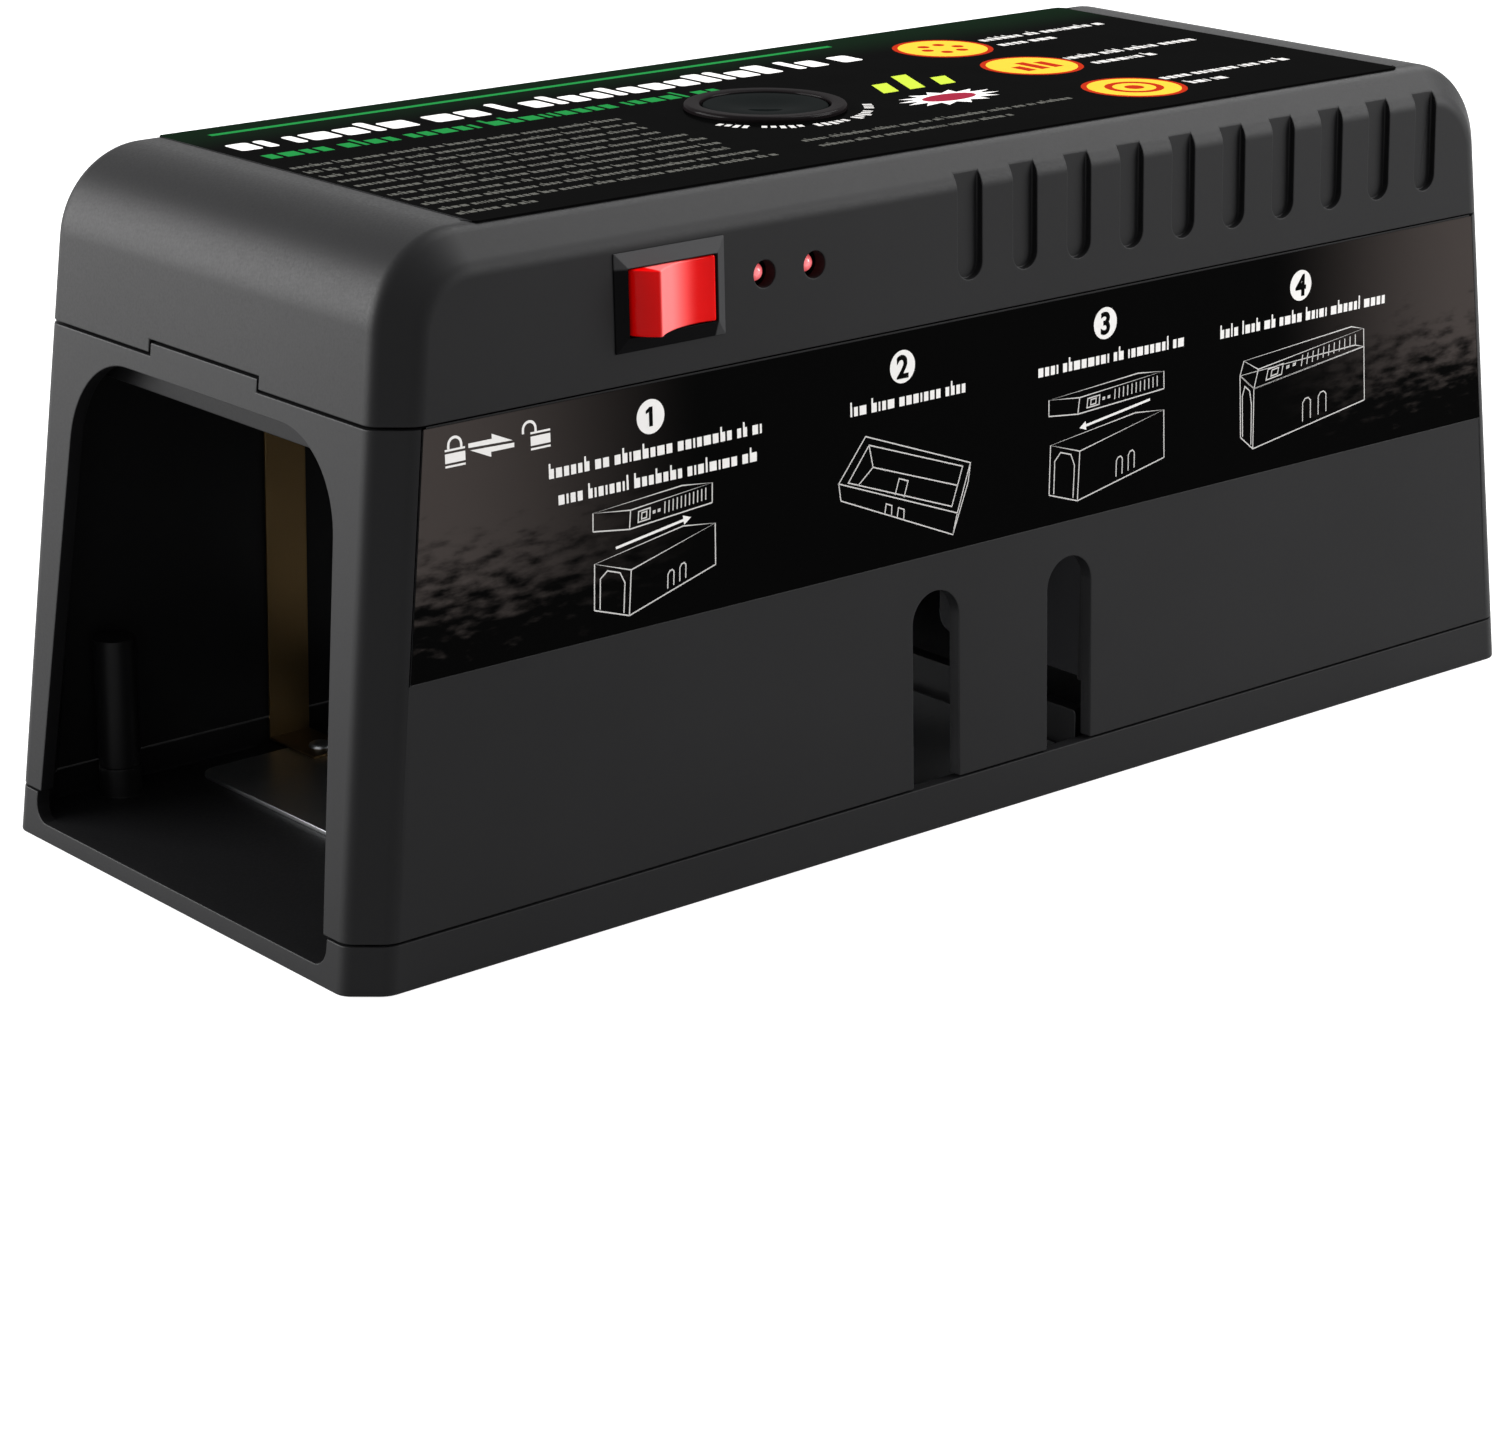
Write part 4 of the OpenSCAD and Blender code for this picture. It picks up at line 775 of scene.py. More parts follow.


# The side film's paler, brownish ends are a painted reflection of its gloss in the base colour.
side_laminate = label_film("gloss black laminate, painted reflection at its ends", 0, 62, 116, "#3b3634",
                           mirrored=True)
white_ink, grey_ink = ink("white label ink", "#dedcda"), ink("grey label ink", "#c0bebc")
black_ink = ink("black label ink", "#0a0a0a")
side_label = prism(side_label_outline(-0.05), -label_recess, side_face, on_side)
dress(shade(side_label), "side_film", "root", "label_film", side_laminate, "side_label")

step_discs = ((-72.7, 78.8), (-22.0, 78.3), (22.8, 78.4), (69.8, 77.8))
disc_r, figure_h, thin_line = 2.65, 3.6, 0.2
marks = [disc(x, up(z), disc_r, 32) for x, z in step_discs]
for seed, (x0, x1, z) in enumerate(((-92, -50.3, 72.6), (-90.4, -52.4, 68.4), (-33, -8.1, 72.0),
                                    (7.6, 41.9, 71.7), (50.1, 92.8, 71.5))):
    marks += block_row(x0, x1, up(z), 2.3, seed)
shackle_r, shackle_foot, shackle_z = 1.15, 80.15, 80.7
for x, shift in ((-108.7, 0), (-93.3, 2.0)):          # a closed and an open padlock
    marks += [bar(x - 1.8, x + 1.8, up(low), up(top))
              for low, top in ((77.5, 77.8), (78.15, 79.55), (79.9, 80.2))]
    marks += stroke([(x - shift + shackle_r, up(shackle_foot))]
                    + arc(x - shift, up(shackle_z), shackle_r, 0, 180, 10)
                    + [(x - shift - shackle_r, up(shackle_foot))], 0.4)
half_arrow = [(-4.1, 0.3), (3.8, 0.1), (0.1, 1.7), (0.1, 0.95), (-4.1, 0.95)]
for side in (1, -1):                                  # one arrow to the right, one back below it
    marks.append([(-102.2 + side * x, up(79.5 + side * z)) for x, z in half_arrow])
shells = [([(-84.4, 51.1), (-77.8, 49.0), (-60.8, 53.7)],
           [(-84.1, 58.2), (-77.2, 56.0), (-60.7, 60.2), (-67.0, 60.9)]),
          ([(10.1, 51.7), (16.6, 49.6), (36.9, 53.4)],
           [(10.4, 60.0), (17.1, 57.9), (36.7, 61.6), (30.0, 62.2)]),
          ([(55.5, 53.6), (58.6, 51.1), (86.9, 55.0)],
           [(55.1, 64.4), (58.6, 61.6), (86.4, 64.6), (84.0, 65.2)])]
covers = [([(-84.2, 63.2), (-77.3, 62.3), (-61.2, 63.5)],
           [(-84.1, 66.0), (-77.0, 65.2), (-61.1, 66.6), (-67.0, 67.2)]),
          ([(10.0, 64.9), (16.6, 64.2), (36.7, 65.2)],
           [(10.0, 67.6), (17.0, 66.9), (36.6, 68.2), (30.5, 68.8)]),
          ([(55.1, 64.4), (58.6, 61.6), (86.4, 64.6)],
           [(56.0, 66.8), (59.6, 64.8), (86.2, 67.8), (83.0, 68.6)])]
tray = ([(-35.2, 59.0), (-11.4, 49.1), (-8.0, 57.2)],
        [(-35.6, 61.8), (-10.4, 52.5), (-7.5, 60.3), (-29.9, 68.4)])
drawn_doorway = [(0.16, 0.04), (0.16, 0.7), (0.35, 0.9), (0.7, 0.9), (0.84, 0.7), (0.84, 0.04)]
lines = drawn_box(*tray)
lines += [[(-33.6, 61.6), (-11.6, 53.8), (-9.2, 60.0), (-29.2, 66.9), (-33.6, 61.6)],
          [(-31.6, 60.8), (-28.4, 63.2), (-10.2, 57.0)], [(-29.2, 66.9), (-28.4, 63.2)],
          [(-23.8, 57.9), (-22.9, 60.4), (-21.0, 59.7), (-21.9, 57.2)],
          [(-26.0, 55.3), (-25.7, 56.8), (-24.5, 56.3), (-24.6, 54.8)],
          [(-23.4, 54.2), (-23.1, 55.7), (-21.9, 55.2), (-22.0, 53.7)]]
for low, top in shells:
    lines += drawn_box(low, top) + [on_wall(low, top, 0, drawn_doorway)]
    lines += [on_wall(low, top, 1, [(s, 0.1), (s, 0.42), (s + 0.02, 0.48), (s + 0.05, 0.48),
                                    (s + 0.07, 0.42), (s + 0.07, 0.1)]) for s in (0.44, 0.58)]
for low, top in covers:
    lines += drawn_box(low, top)
    lines += [on_wall(low, top, 1, [(0.42 + 0.05 * k, 0.25), (0.42 + 0.05 * k, 0.85)])
              for k in range(11)]
    lines += [on_wall(low, top, 1, [(a, b), (a + w, b), (a + w, 1 - b), (a, 1 - b), (a, b)])
              for a, b, w in ((0.1, 0.22, 0.14), (0.14, 0.34, 0.06), (0.28, 0.45, 0.02),
                              (0.34, 0.45, 0.02))]
lines = [[(x, up(z)) for x, z in line] for line in lines]
marks += arrow(-80.0, 59.9, -65.4, 62.0) + arrow(33.4, 63.9, 17.0, 61.8)
on_side_label("side_print", marks, white_ink)
on_side_label("side_drawings", [strip for line in lines for strip in stroke(line, thin_line)],
              grey_ink)
figure_one = [(-0.3, -1.5), (0.4, -1.5), (0.4, 1.5), (-0.2, 1.5), (-0.9, 1.0), (-0.9, 0.5),
              (-0.3, 0.75)]
x, z = step_discs[0]
on_side_label("numeral_1", [[(x + dx, up(z + dz)) for dx, dz in figure_one]], black_ink, 1)
for count, (x, z) in enumerate(step_discs[1:], 2):
    numeral(str(count), x, up(z), figure_h)

# ---- Top label ----
# The same laminate on the top, with a hole for the button. A green line and plain blocks stand
# in the place of print, and round badges with simple motifs in the place of pictures.
top_face = case_h - label_recess + film_t


def on_top_label(name, outlines, material, below=0):
    """Print on the top label, over this many inks."""
    printed(name, outlines, upright, top_face + below * ink_t, "cover", material)


top_label = prism(top_label_outline(-0.05), case_h - label_recess, top_face)
combine(top_label, prism(disc(button_x, button_y, collar_hole_r, 64), case_h - past,
                         case_h + past))
top_laminate = label_film("gloss black laminate, green light printed on one edge", 1, 24, 40,
                          "#08170c")
dress(shade(top_label), "top_film", "cover", "label_film", top_laminate, "top_label")
green_ink, yellow_ink = ink("green label ink", "#1f7539"), ink("yellow label ink", "#d9a936")
red_ink, lime_ink = ink("red label ink", "#9c2815"), ink("lime label ink", "#a9bd3c")
crimson_ink = ink("crimson label ink", "#842436")
faint_ink = ink("faint grey label ink", "#52524e")

title_x1, title_y = 34, 22.4
title, x, dice = [], -97.0, random.Random(7)
while x < title_x1 - 4:
    width = dice.choice((2.0, 3.6, 4.0, 4.4, 5.4))
    top = dice.choice((28.0, 28.0, 30.2))
    title.append(rounded(x, title_y, min(x + width, title_x1), top, 0.7, 3))
    x += width + (1.1 if dice.random() < 0.8 else 3.4)
on_top_label("title_print", title, white_ink)
green_line = [bar(-94, 36.5, 35.7, 37.1)]
on_top_label("green_print", green_line + block_row(-97, -5, 14.3, 5.2, 21, 9), green_ink)
text_h, caption_h, row_count, row_pitch = 2.0, 3.0, 11, 4.26
rows = []
for i in range(row_count):                            # the last row is a short one
    row_end = -85 if i == row_count - 1 else -34 - dice.random() * 3
    rows += block_row(-99, row_end, 7.1 - row_pitch * i - 1.5, text_h, 30 + i)
captions = []
for seed, (x0, x1, y) in enumerate(((61.4, 92.9, 22.6), (60.8, 75.6, 17.1), (60.2, 92.3, -0.2),
                                    (60.9, 77.2, -6.4), (59.1, 91.7, -24.7),
                                    (60, 68.3, -30.4)), 50):
    captions += block_row(x0, x1, y, caption_h, seed)
on_top_label("caption_print", captions, grey_ink)
rows += block_row(-24.6, 35, -27.4, text_h, 60) + block_row(-25, 17.2, -32.0, text_h, 61)
on_top_label("text_print", rows, faint_ink)


def around_button(angle, radius, half_width, height):
    """A block that stands on a circle round the button."""
    a = math.radians(angle)
    return [(button_x + math.cos(a) * r - math.sin(a) * w,
             button_y + math.sin(a) * r + math.cos(a) * w)
            for r, w in bar(radius, radius + height, -half_width, half_width)]


curved_row = [around_button(a, 16.2, 0.45, dice.choice((1.6, 1.6, 2.2)))
              for a in range(204, 331, 5) if a % 30 != 14]
on_top_label("arc_print", curved_row, grey_ink)
ring_badge, bar_badge, dot_badge = (49.4, -26.6), (50.6, -0.6), (50.5, 22.0)
badges, badge_r = (dot_badge, bar_badge, ring_badge), 9.0
on_top_label("badge_rims", [disc(*badge, badge_r, 48) for badge in badges], red_ink)
on_top_label("badge_faces", [disc(*badge, badge_r - 1.0, 48) for badge in badges], yellow_ink, 1)
motifs = [disc(x, y, 1.1, 16) for x, y in disc(*dot_badge, 3.6, 6)]
motifs += [bar(46.4 + 3.2 * k, 48.4 + 3.2 * k, -4.2, -4.2 + height)
           for k, height in enumerate((4.4, 7.0, 5.6))]
motifs += stroke(arc(*ring_badge, 4.4, 0, 360, 24), 1.3) + [disc(*ring_badge, 1.7, 20)]
on_top_label("badge_motifs", motifs, red_ink, 2)
slanted_bars = [[(x, -4), (x + 3.4, -4), (x + 3.4 + h * 0.5, h - 4), (x + h * 0.5, h - 4)]
                for x, h in ((13, 7), (19, 11), (26, 6))]
on_top_label("lime_print", slanted_bars, lime_ink)
burst_x, burst_y = 19, -13.5                          # an oval in a burst of fourteen points
burst = [(burst_x + (9.5 if i % 2 else 6.2) * math.cos(i * math.pi / 14) * 1.1,
          burst_y + (5.6 if i % 2 else 3.6) * math.sin(i * math.pi / 14)) for i in range(28)]
on_top_label("burst_print", [burst], white_ink)
oval = [(burst_x + 5.6 * x, burst_y + 2.7 * y) for x, y in disc(0, 0, 1, 24)]
on_top_label("burst_middle", [oval], crimson_ink, 1)

# ---- Rocker switch ----
# A snap-in power switch: black nylon housing with a bevelled rim, and a glossy red rocker on two
# pins. The rocker rests with its doorway end raised.
rim_w, rim_h, rim_t, rim_step, lip_w, lip_h = 10.5, 7.5, 1.1, 0.25, 8.6, 5.25
open_w, open_h = 8.45, 5.1
snap_w, snap_h, housing_foot = 9.5, 6.35, -12.3
cavity_w, cavity_foot = 8.8, -10.8
blade_places, blade_w, blade_h = (-5.4, 0.0), 0.45, 2.45
rocker_half, rocker_r, rocker_corner, rocker_dip, rocker_foot = 4.95, 8.5, 37, 1.65, -20
pin_r, pin_half, pivot_n = 1.2, 6.05, -1.9
rocker_tilt = math.radians(15)


def moulded(name, hex_code, roughness, **more):
    """Smooth moulded plastic: even colour, faint flow marks in its gloss, a trace of relief."""
    made, tree, shader = new_material(name)
    place = add(tree, "ShaderNodeTexCoord").outputs["Object"]
    grain = add(tree, "ShaderNodeTexNoise", {
        "Vector": place, "Scale": 1 / (0.5 * MM), "Detail": 2.0})
    flow = add(tree, "ShaderNodeTexNoise", {
        "Vector": place, "Scale": 90.0, "Detail": 2.0, "Distortion": 0.6})
    tint = add(tree, "ShaderNodeMix", {
        0: flow, 6: [c * 0.85 for c in linear(hex_code)],
        7: [min(1, c * 1.12) for c in linear(hex_code)]}, data_type="RGBA")
    gloss = add(tree, "ShaderNodeMapRange", {
        "Value": flow, "To Min": roughness - 0.04, "To Max": roughness + 0.04})
    relief = add(tree, "ShaderNodeBump", {"Height": grain, "Strength": 0.1, "Distance": 0.01 * MM})
    feed(tree, shader, {"Base Color": tint, "Roughness": gloss, "Normal": relief})
    feed(tree, shader, {socket.replace("_", " "): value for socket, value in more.items()})
    return made


def rubbed(material, hex_code, *bands):
    """Mixes a colour into the base colour along bands, as painted highlights: each band is an axis,
    where it begins and where it is full.
    """
    tree = material.node_tree
    shader = tree.nodes["Principled BSDF"]
    place = add(tree, "ShaderNodeTexCoord").outputs["Object"]
    across = add(tree, "ShaderNodeSeparateXYZ", {0: place}).outputs
    for axis, start, full in bands:
        before = shader.inputs["Base Color"].links[0].from_socket
        highlight_mask = add(tree, "ShaderNodeMapRange", {
            "Value": across[axis], "From Min": start * MM, "From Max": full * MM},
            interpolation_type="SMOOTHSTEP")
        tint = add(tree, "ShaderNodeMix", {
            0: highlight_mask, 6: before, 7: linear(hex_code)}, data_type="RGBA")
        feed(tree, shader, {"Base Color": tint})


def at_switch(a, b, n):
    return on_side(switch_x + a, up(switch_z) + b, n)


def on_rocker(a, n, b):
    """Frame of the rocker: a along it, n out of it, b up the wall, tilted about its pins."""
    return at_switch(a * math.cos(rocker_tilt) + n * math.sin(rocker_tilt), b,
                     pivot_n - a * math.sin(rocker_tilt) + n * math.cos(rocker_tilt))


def turned(points, place=upright, x=0.0, y=0.0, steps=48, closed=False):
    """Solid of revolution about (x, y), from points (radius, height)."""
    return loft([[place(a, b, z) for a, b in disc(x, y, r, steps)] for r, z in points], closed)


switch_black = moulded("black nylon", "#060607", 0.38, Specular_IOR_Level=0.0, Coat_Weight=0.06,
                       Coat_Roughness=0.2)
# Painted highlight: the top and right bevels of the rim are paler grey in the base colour.
rubbed(switch_black, "#383839", (2, switch_z + 4.9, switch_z + 5.4),
       (0, switch_x + 8.3, switch_x + 8.7))
housing = loft([[at_switch(a, b, n) for a, b in bar(-w, w, -h, h)] for w, h, n in (
    (cavity_w, open_h, cavity_foot), (cavity_w, open_h, -0.1), (open_w, open_h, -0.1),
    (open_w, open_h, rim_t), (lip_w, lip_h, rim_t), (rim_w, rim_h, rim_step),
    (rim_w, rim_h, 0.02), (snap_w, snap_h, 0.02), (snap_w, snap_h, housing_foot))])
for a in blade_places:
    combine(housing, prism(bar(a - blade_w, a + blade_w, -blade_h, blade_h), housing_foot - 1.7,
                           cavity_foot + 1.8, at_switch))
dress(soften(housing, 0.12), "switch_frame", "cover", "switch_black", switch_black,
      "switch_housing")

corner_x, corner_n = (rocker_r * f(math.radians(rocker_corner)) for f in (math.cos, math.sin))
dip_r = (corner_x ** 2 + rocker_dip ** 2) / (2 * rocker_dip)
spread = math.degrees(math.asin(corner_x / dip_r))
rocker_outline = (arc(0, 0, rocker_r, rocker_foot, rocker_corner, 16)
                  + arc(0, corner_n - rocker_dip + dip_r, dip_r, 270 + spread, 270 - spread,
                        28)[1:-1]
                  + arc(0, 0, rocker_r, 180 - rocker_corner, 180 - rocker_foot, 16))
rocker_red = moulded("glossy red polycarbonate", "#cc0202", 0.24, Specular_IOR_Level=0.0,
                     Coat_Weight=0.15, Coat_Roughness=0.12)
# Painted highlight: pink on the concave face by the raised ridge, and plain red again on the end
# face past the ridge, so that the painted highlight stops there.
rubbed(rocker_red, "#ff7070", (0, switch_x + 5.0, switch_x - 2.2))
rubbed(rocker_red, "#e80404", (0, switch_x - 5.1, switch_x - 5.6))
rocker = soften(prism(rocker_outline, -rocker_half, rocker_half, on_rocker), 0.28, 25, 3)
pins = prism(disc(0, 0, pin_r, 24), -pin_half, pin_half, on_rocker)
plunger = turned([(0.2, -7.2), (0.7, -6.95), (1, -6.2), (1, -1.5)],
                 lambda a, b, z: on_rocker(a, z, b), steps=20)
dress(shade(joined([rocker, pins, plunger])), "red_rocker", "rocker", "rocker_red", rocker_red,
      "switch_rocker")

# ---- Lamps ----
# Two red 3 mm light-emitting diodes, set back in plain holes. Their wire legs are bent down to
# the circuit board.
lens_r, lens_rim_r, lens_foot, lens_shoulder, lens_dome = 1.5, 1.9, -8.4, -7.4, -2.9
leg_w, leg_pitch = 0.5, 1.6
tray_top, board_z0, board_top = 86.0, 92.0, 93.6


def sheet_metal(name, hex_code, roughness, stretch=(0.04, 1, 1)):
    """Rolled or drawn metal: fine lines along one way, that pull its highlights out."""
    made, tree, shader = new_material(name)
    place = add(tree, "ShaderNodeTexCoord").outputs["Object"]
    along = add(tree, "ShaderNodeMapping", {"Vector": place, "Scale": stretch})
    lines = add(tree, "ShaderNodeTexNoise", {
        "Vector": along, "Scale": 1 / (0.15 * MM), "Detail": 3.0})
    stain = add(tree, "ShaderNodeTexNoise", {"Vector": place, "Scale": 60.0, "Detail": 3.0})
    tint = add(tree, "ShaderNodeMix", {
        0: stain, 6: [c * 0.8 for c in linear(hex_code)], 7: linear(hex_code)}, data_type="RGBA")
    gloss = add(tree, "ShaderNodeMapRange", {
        "Value": lines, "To Min": roughness - 0.1, "To Max": roughness + 0.1})
    relief = add(tree, "ShaderNodeBump", {"Height": lines, "Strength": 0.2, "Distance": 0.01 * MM})
    feed(tree, shader, {"Base Color": tint, "Roughness": gloss, "Normal": relief, "Metallic": 1.0})
    return made


lamp_red = moulded("tinted epoxy", "#ff9397", 0.22, Emission_Color=linear("#ff5a60"),
                   Emission_Strength=0.5, Coat_Weight=0.5)
lens = [(lens_rim_r, lens_foot), (lens_rim_r, lens_shoulder), (lens_r, lens_shoulder + 0.1)]
lens += arc(0, lens_dome, lens_r, 0, 84, 10)
lenses = joined([turned(lens, on_side, x, up(lamp_z), 28) for x in lamp_places])
dress(shade(lenses), "lamp_lenses", "cover", "lamp_red", lamp_red, "lamps")
spring_wire = sheet_metal("nickel-plated spring wire", "#c3c5c7", 0.28)
leg_y, leg_end = -side_y(lamp_z) - lens_foot - 0.4, -32
legs = []
for x in lamp_places:
    for middle in (x - leg_pitch / 2, x + leg_pitch / 2):
        x0, x1 = middle - leg_w / 2, middle + leg_w / 2
        legs += [block(x0, x1, leg_y, leg_end, lamp_z - leg_w, lamp_z),
                 block(x0, x1, leg_end - leg_w, leg_end, board_top, lamp_z - 0.1)]
dress(joined(legs), "lamp_legs", "cover", "spring_wire", spring_wire)

# ---- Shock button ----
# A wide satin push button in a glossy collar on the top. The button is dished, and its skirt
# runs inside the collar over a spring.
collar_in, collar_neck, collar_out, collar_round = 10.8, 11.85, 13.5, 0.54
collar_foot, collar_top = 104.1, 112.0
button_top, button_r, button_edge, skirt_in, skirt_foot = 111.7, 10.5, 0.5, 9.1, 106.7
dish_in, dish_out, dish_depth, dish_steps = 0.4, 8.9, 0.5, 12
button_under, button_travel, stem_r, stem_foot = 109.7, 2.0, 2, 102.05

collar_black = moulded("gloss black ABS collar", "#120f10", 0.3, Specular_IOR_Level=0.0,
                       Coat_Weight=0.08, Coat_Roughness=0.15)
collar = turned([(collar_in, collar_foot), (collar_neck, collar_foot), (collar_neck, top_face),
                 (collar_out, top_face)]
                + arc(collar_out - collar_round, top_face + 0.36, collar_round, 0, 90, 8)
                + [(collar_in + 0.5, collar_top), (collar_in + 0.1, collar_top - 0.2),
                   (collar_in, collar_top - 0.45)],
                x=button_x, y=button_y, steps=96, closed=True)
dress(shade(collar), "collar_ring", "cover", "collar_black", collar_black, "button_collar")
button_black = moulded("satin black ABS cap", "#0d1010", 0.4, Specular_IOR_Level=0.0,
                       Coat_Weight=0.03)
dish = [(dish_in + (dish_out - dish_in) * i / dish_steps,
         button_top - dish_depth / 2 * (1 + math.cos(math.pi * i / dish_steps)))
        for i in range(dish_steps + 1)]
cap = turned(dish + arc(button_r - button_edge, button_top - button_edge, button_edge, 90, 0, 6)
             + [(button_r, skirt_foot), (skirt_in, skirt_foot), (skirt_in, button_under),
                (stem_r, button_under), (stem_r, stem_foot)],
             x=button_x, y=button_y, steps=96)
dress(shade(cap), "button_cap", "button", "button_black", button_black, "shock_button")


def coil_tree():
    """A coil of round wire that stands up from its origin."""
    tree, given = sized_tree("coil", {"Mean Radius": "Float", "Wire Radius": "Float",
                                      "Height": "Float", "Turns": "Float"})
    line = add(tree, "GeometryNodeCurveSpiral", {
        "Resolution": 24, "Rotations": given["Turns"], "Start Radius": given["Mean Radius"],
        "End Radius": given["Mean Radius"], "Height": given["Height"]})
    ring = add(tree, "GeometryNodeCurvePrimitiveCircle", {
        "Resolution": 10, "Radius": given["Wire Radius"]})
    tube = add(tree, "GeometryNodeCurveToMesh", {
        "Curve": line, "Profile Curve": ring, "Fill Caps": True})
    return end_tree(tree, given, tube)


coil = coil_tree()


def coil_spring(mean_d, wire_d, height, turns, matrix):
    """A compression spring that stands up from z = 0, put in place by the matrix (millimetres)."""
    made = run_tree(new_object("coil", bpy.data.meshes.new("coil")), coil, {
        "Mean Radius": mean_d / 2 * MM, "Wire Radius": wire_d / 2 * MM,
        "Height": (height - wire_d) * MM, "Turns": float(turns), "Material": spring_wire})
    made.data.transform(Matrix.Scale(MM, 4) @ matrix @ Matrix.Translation((0, 0, wire_d / 2))
                        @ Matrix.Scale(1 / MM, 4))
    for face in made.data.polygons:
        face.use_smooth = True
    return made


spring = coil_spring(11, 0.6, button_under - board_top, 6,
                     Matrix.Translation((button_x, button_y, board_top)))
dress(spring, "button_return_spring", "cover", "spring_wire", spring_wire, "button_spring")
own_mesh(spring)

# ---- Plates and strips ----
# Three steel plates on the floor give the shock. Bronze strips, riveted to them, climb the far
# wall to the cover, and domed rivets hold everything down.
plate_t, plate_side_gap, rivet_inset, strip_foot = 0.8, 5.75, 7, 8
rivet_places = (-91, -60, -40, 15, 35, 67)
leaf_t, leaf_root = 0.4, 32.5


def finished_copy(name, node, slot_name, material, width):
    """A CAD piece with its doubles merged, its flats joined and its edges rounded."""
    source = frame["nodes"][node]
    shape = bmesh.new()
    shape.from_mesh(source.data)
    bmesh.ops.remove_doubles(shape, verts=shape.verts, dist=2e-6)
    bmesh.ops.dissolve_limit(shape, angle_limit=math.radians(0.5), verts=shape.verts,
                             edges=shape.edges)
    shape.verts.index_update()
    points = [v.co / MM for v in shape.verts]
    faces = [[v.index for v in f.verts] for f in shape.faces]
    shape.free()
    made = mesh_object(name, points, faces)
    if width:
        soften(made, width)
    else:
        shade(made, 30)
    return dress(made, name, source["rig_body"], slot_name, material, node)


def scatter_tree():
    """Puts its piece on every point of the given mesh."""
    tree, given = sized_tree("scatter", {"Piece": "Object"})
    piece = add(tree, "GeometryNodeObjectInfo", {"Object": given["Piece"]})
    put = add(tree, "GeometryNodeInstanceOnPoints", {
        "Points": given["Geometry"], "Instance": piece.outputs["Geometry"]})
    return end_tree(tree, given, put)


scatter = scatter_tree()


def rivets(points):
    """Domed rivet heads that stand on the points."""
    head = shade(turned([(2, 0), (2, 0.15), (1.85, 0.42), (1.5, 0.65), (0.9, 0.83), (0.2, 0.9)],
                        steps=28))
    mesh = bpy.data.meshes.new("rivets")
    mesh.from_pydata([Vector(p) * MM for p in points], [], [])
    made = run_tree(new_object("rivets", mesh), scatter, {"Piece": head, "Material": rivet_zinc})
    bpy.data.objects.remove(head)
    return made


plate_steel = sheet_metal("brushed stainless sheet", "#b9bbbd", 0.32)
contact_bronze = sheet_metal("tarnished phosphor bronze strip", "#6e5a3c", 0.42, (1, 1, 0.05))
rivet_zinc = sheet_metal("zinc-plated rivet steel", "#a9adb0", 0.38, (1, 1, 1))
for node in ("entry_plate", "middle_plate", "rear_plate"):
    finished_copy(node + "_sheet", node, "plate_steel", plate_steel, 0.15)
finished_copy("riser_strips", "contact_strips", "contact_bronze", contact_bronze, 0.08)
finished_copy("cover_leaves", "contact_leaves", "contact_bronze", contact_bronze, 0.08)
plate_half = side_y(floor_t, wall) - plate_side_gap
plate_top, leaf_top = floor_t + plate_t, tray_top + leaf_t
strip_rivets = [(x, plate_half - strip_foot / 2, plate_top + strip_t) for x in strip_places]
plate_rivets = [(x, rivet_inset - plate_half, plate_top) for x in rivet_places]
dress(rivets(strip_rivets + plate_rivets), "domed_rivets", "root", "screw_zinc", rivet_zinc,
      "plate_rivets")
dress(rivets([(x, leaf_root + 3.4, leaf_top) for x in strip_places]), "leaf_rivet_heads", "cover",
      "screw_zinc", rivet_zinc, "leaf_rivets")

# ---- Screws ----
# Zinc-plated pan-head screws with a cross recess: four in the base, four in the tray, four on
# the circuit board.
board_screw_xs, board_screw_ys = (-38, 8), (-29, 29)


def pan_screw(thread_d, length, head_d, head_h, upside_down):
    """Screw round the origin: its head hangs under z = 0 and its thread runs up."""
    pitch, r = 0.8, thread_d / 2
    root = r * 0.8
    outline = [(0.3, -head_h), (head_d * 0.2, -head_h * 0.98), (head_d * 0.36, -head_h * 0.82),
               (head_d * 0.46, -head_h * 0.55), (head_d / 2, -head_h * 0.25), (head_d / 2, 0),
               (root, 0)]
    for i in range(int(length / pitch) - 1):
        outline += [(root, 0.3 + i * pitch), (r, 0.6 + i * pitch), (root, 0.9 + i * pitch)]
    made = turned(outline + [(0.2, length)], steps=28)
    arm, slit, depth = head_d * 0.28, head_d * 0.06, -head_h * 0.45
    combine(made, combine(block(-arm, arm, -slit, slit, -head_h - past, depth),
                          block(-slit, slit, -arm, arm, -head_h - past, depth), "UNION"))
    if upside_down:
        made.data.transform(Matrix.Rotation(math.pi, 4, "X"))
    return shade(made, 35)


screw_zinc = sheet_metal("zinc-plated screw steel", "#a4a8ab", 0.34, (1, 1, 1))
for name, node, size, xs, ys, z, upside_down in (
        ("base_pan_screws", "base_screws", (3, 12, 5.6, 2), (-screw_x, screw_x),
         (-screw_y, screw_y), head_z, False),
        ("tray_pan_screws", "tray_screws", (3, 10, 5.2, 2), tray_screw_xs, tray_screw_ys, 86.9,
         False),
        ("board_pan_screws", "board_screws", (2.6, 6, 4.6, 1.6), board_screw_xs, board_screw_ys,
         board_top, True)):
    screws = pan_screw(*size, upside_down)
    screws.data.transform(Matrix.Translation(Vector((xs[0], ys[0], z)) * MM))
    repeated(screws, screw_zinc, 2, (xs[1] - xs[0], 0, 0), 2, (0, ys[1] - ys[0], 0))
    dress(screws, name, frame["nodes"][node]["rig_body"], "screw_zinc", screw_zinc, node)

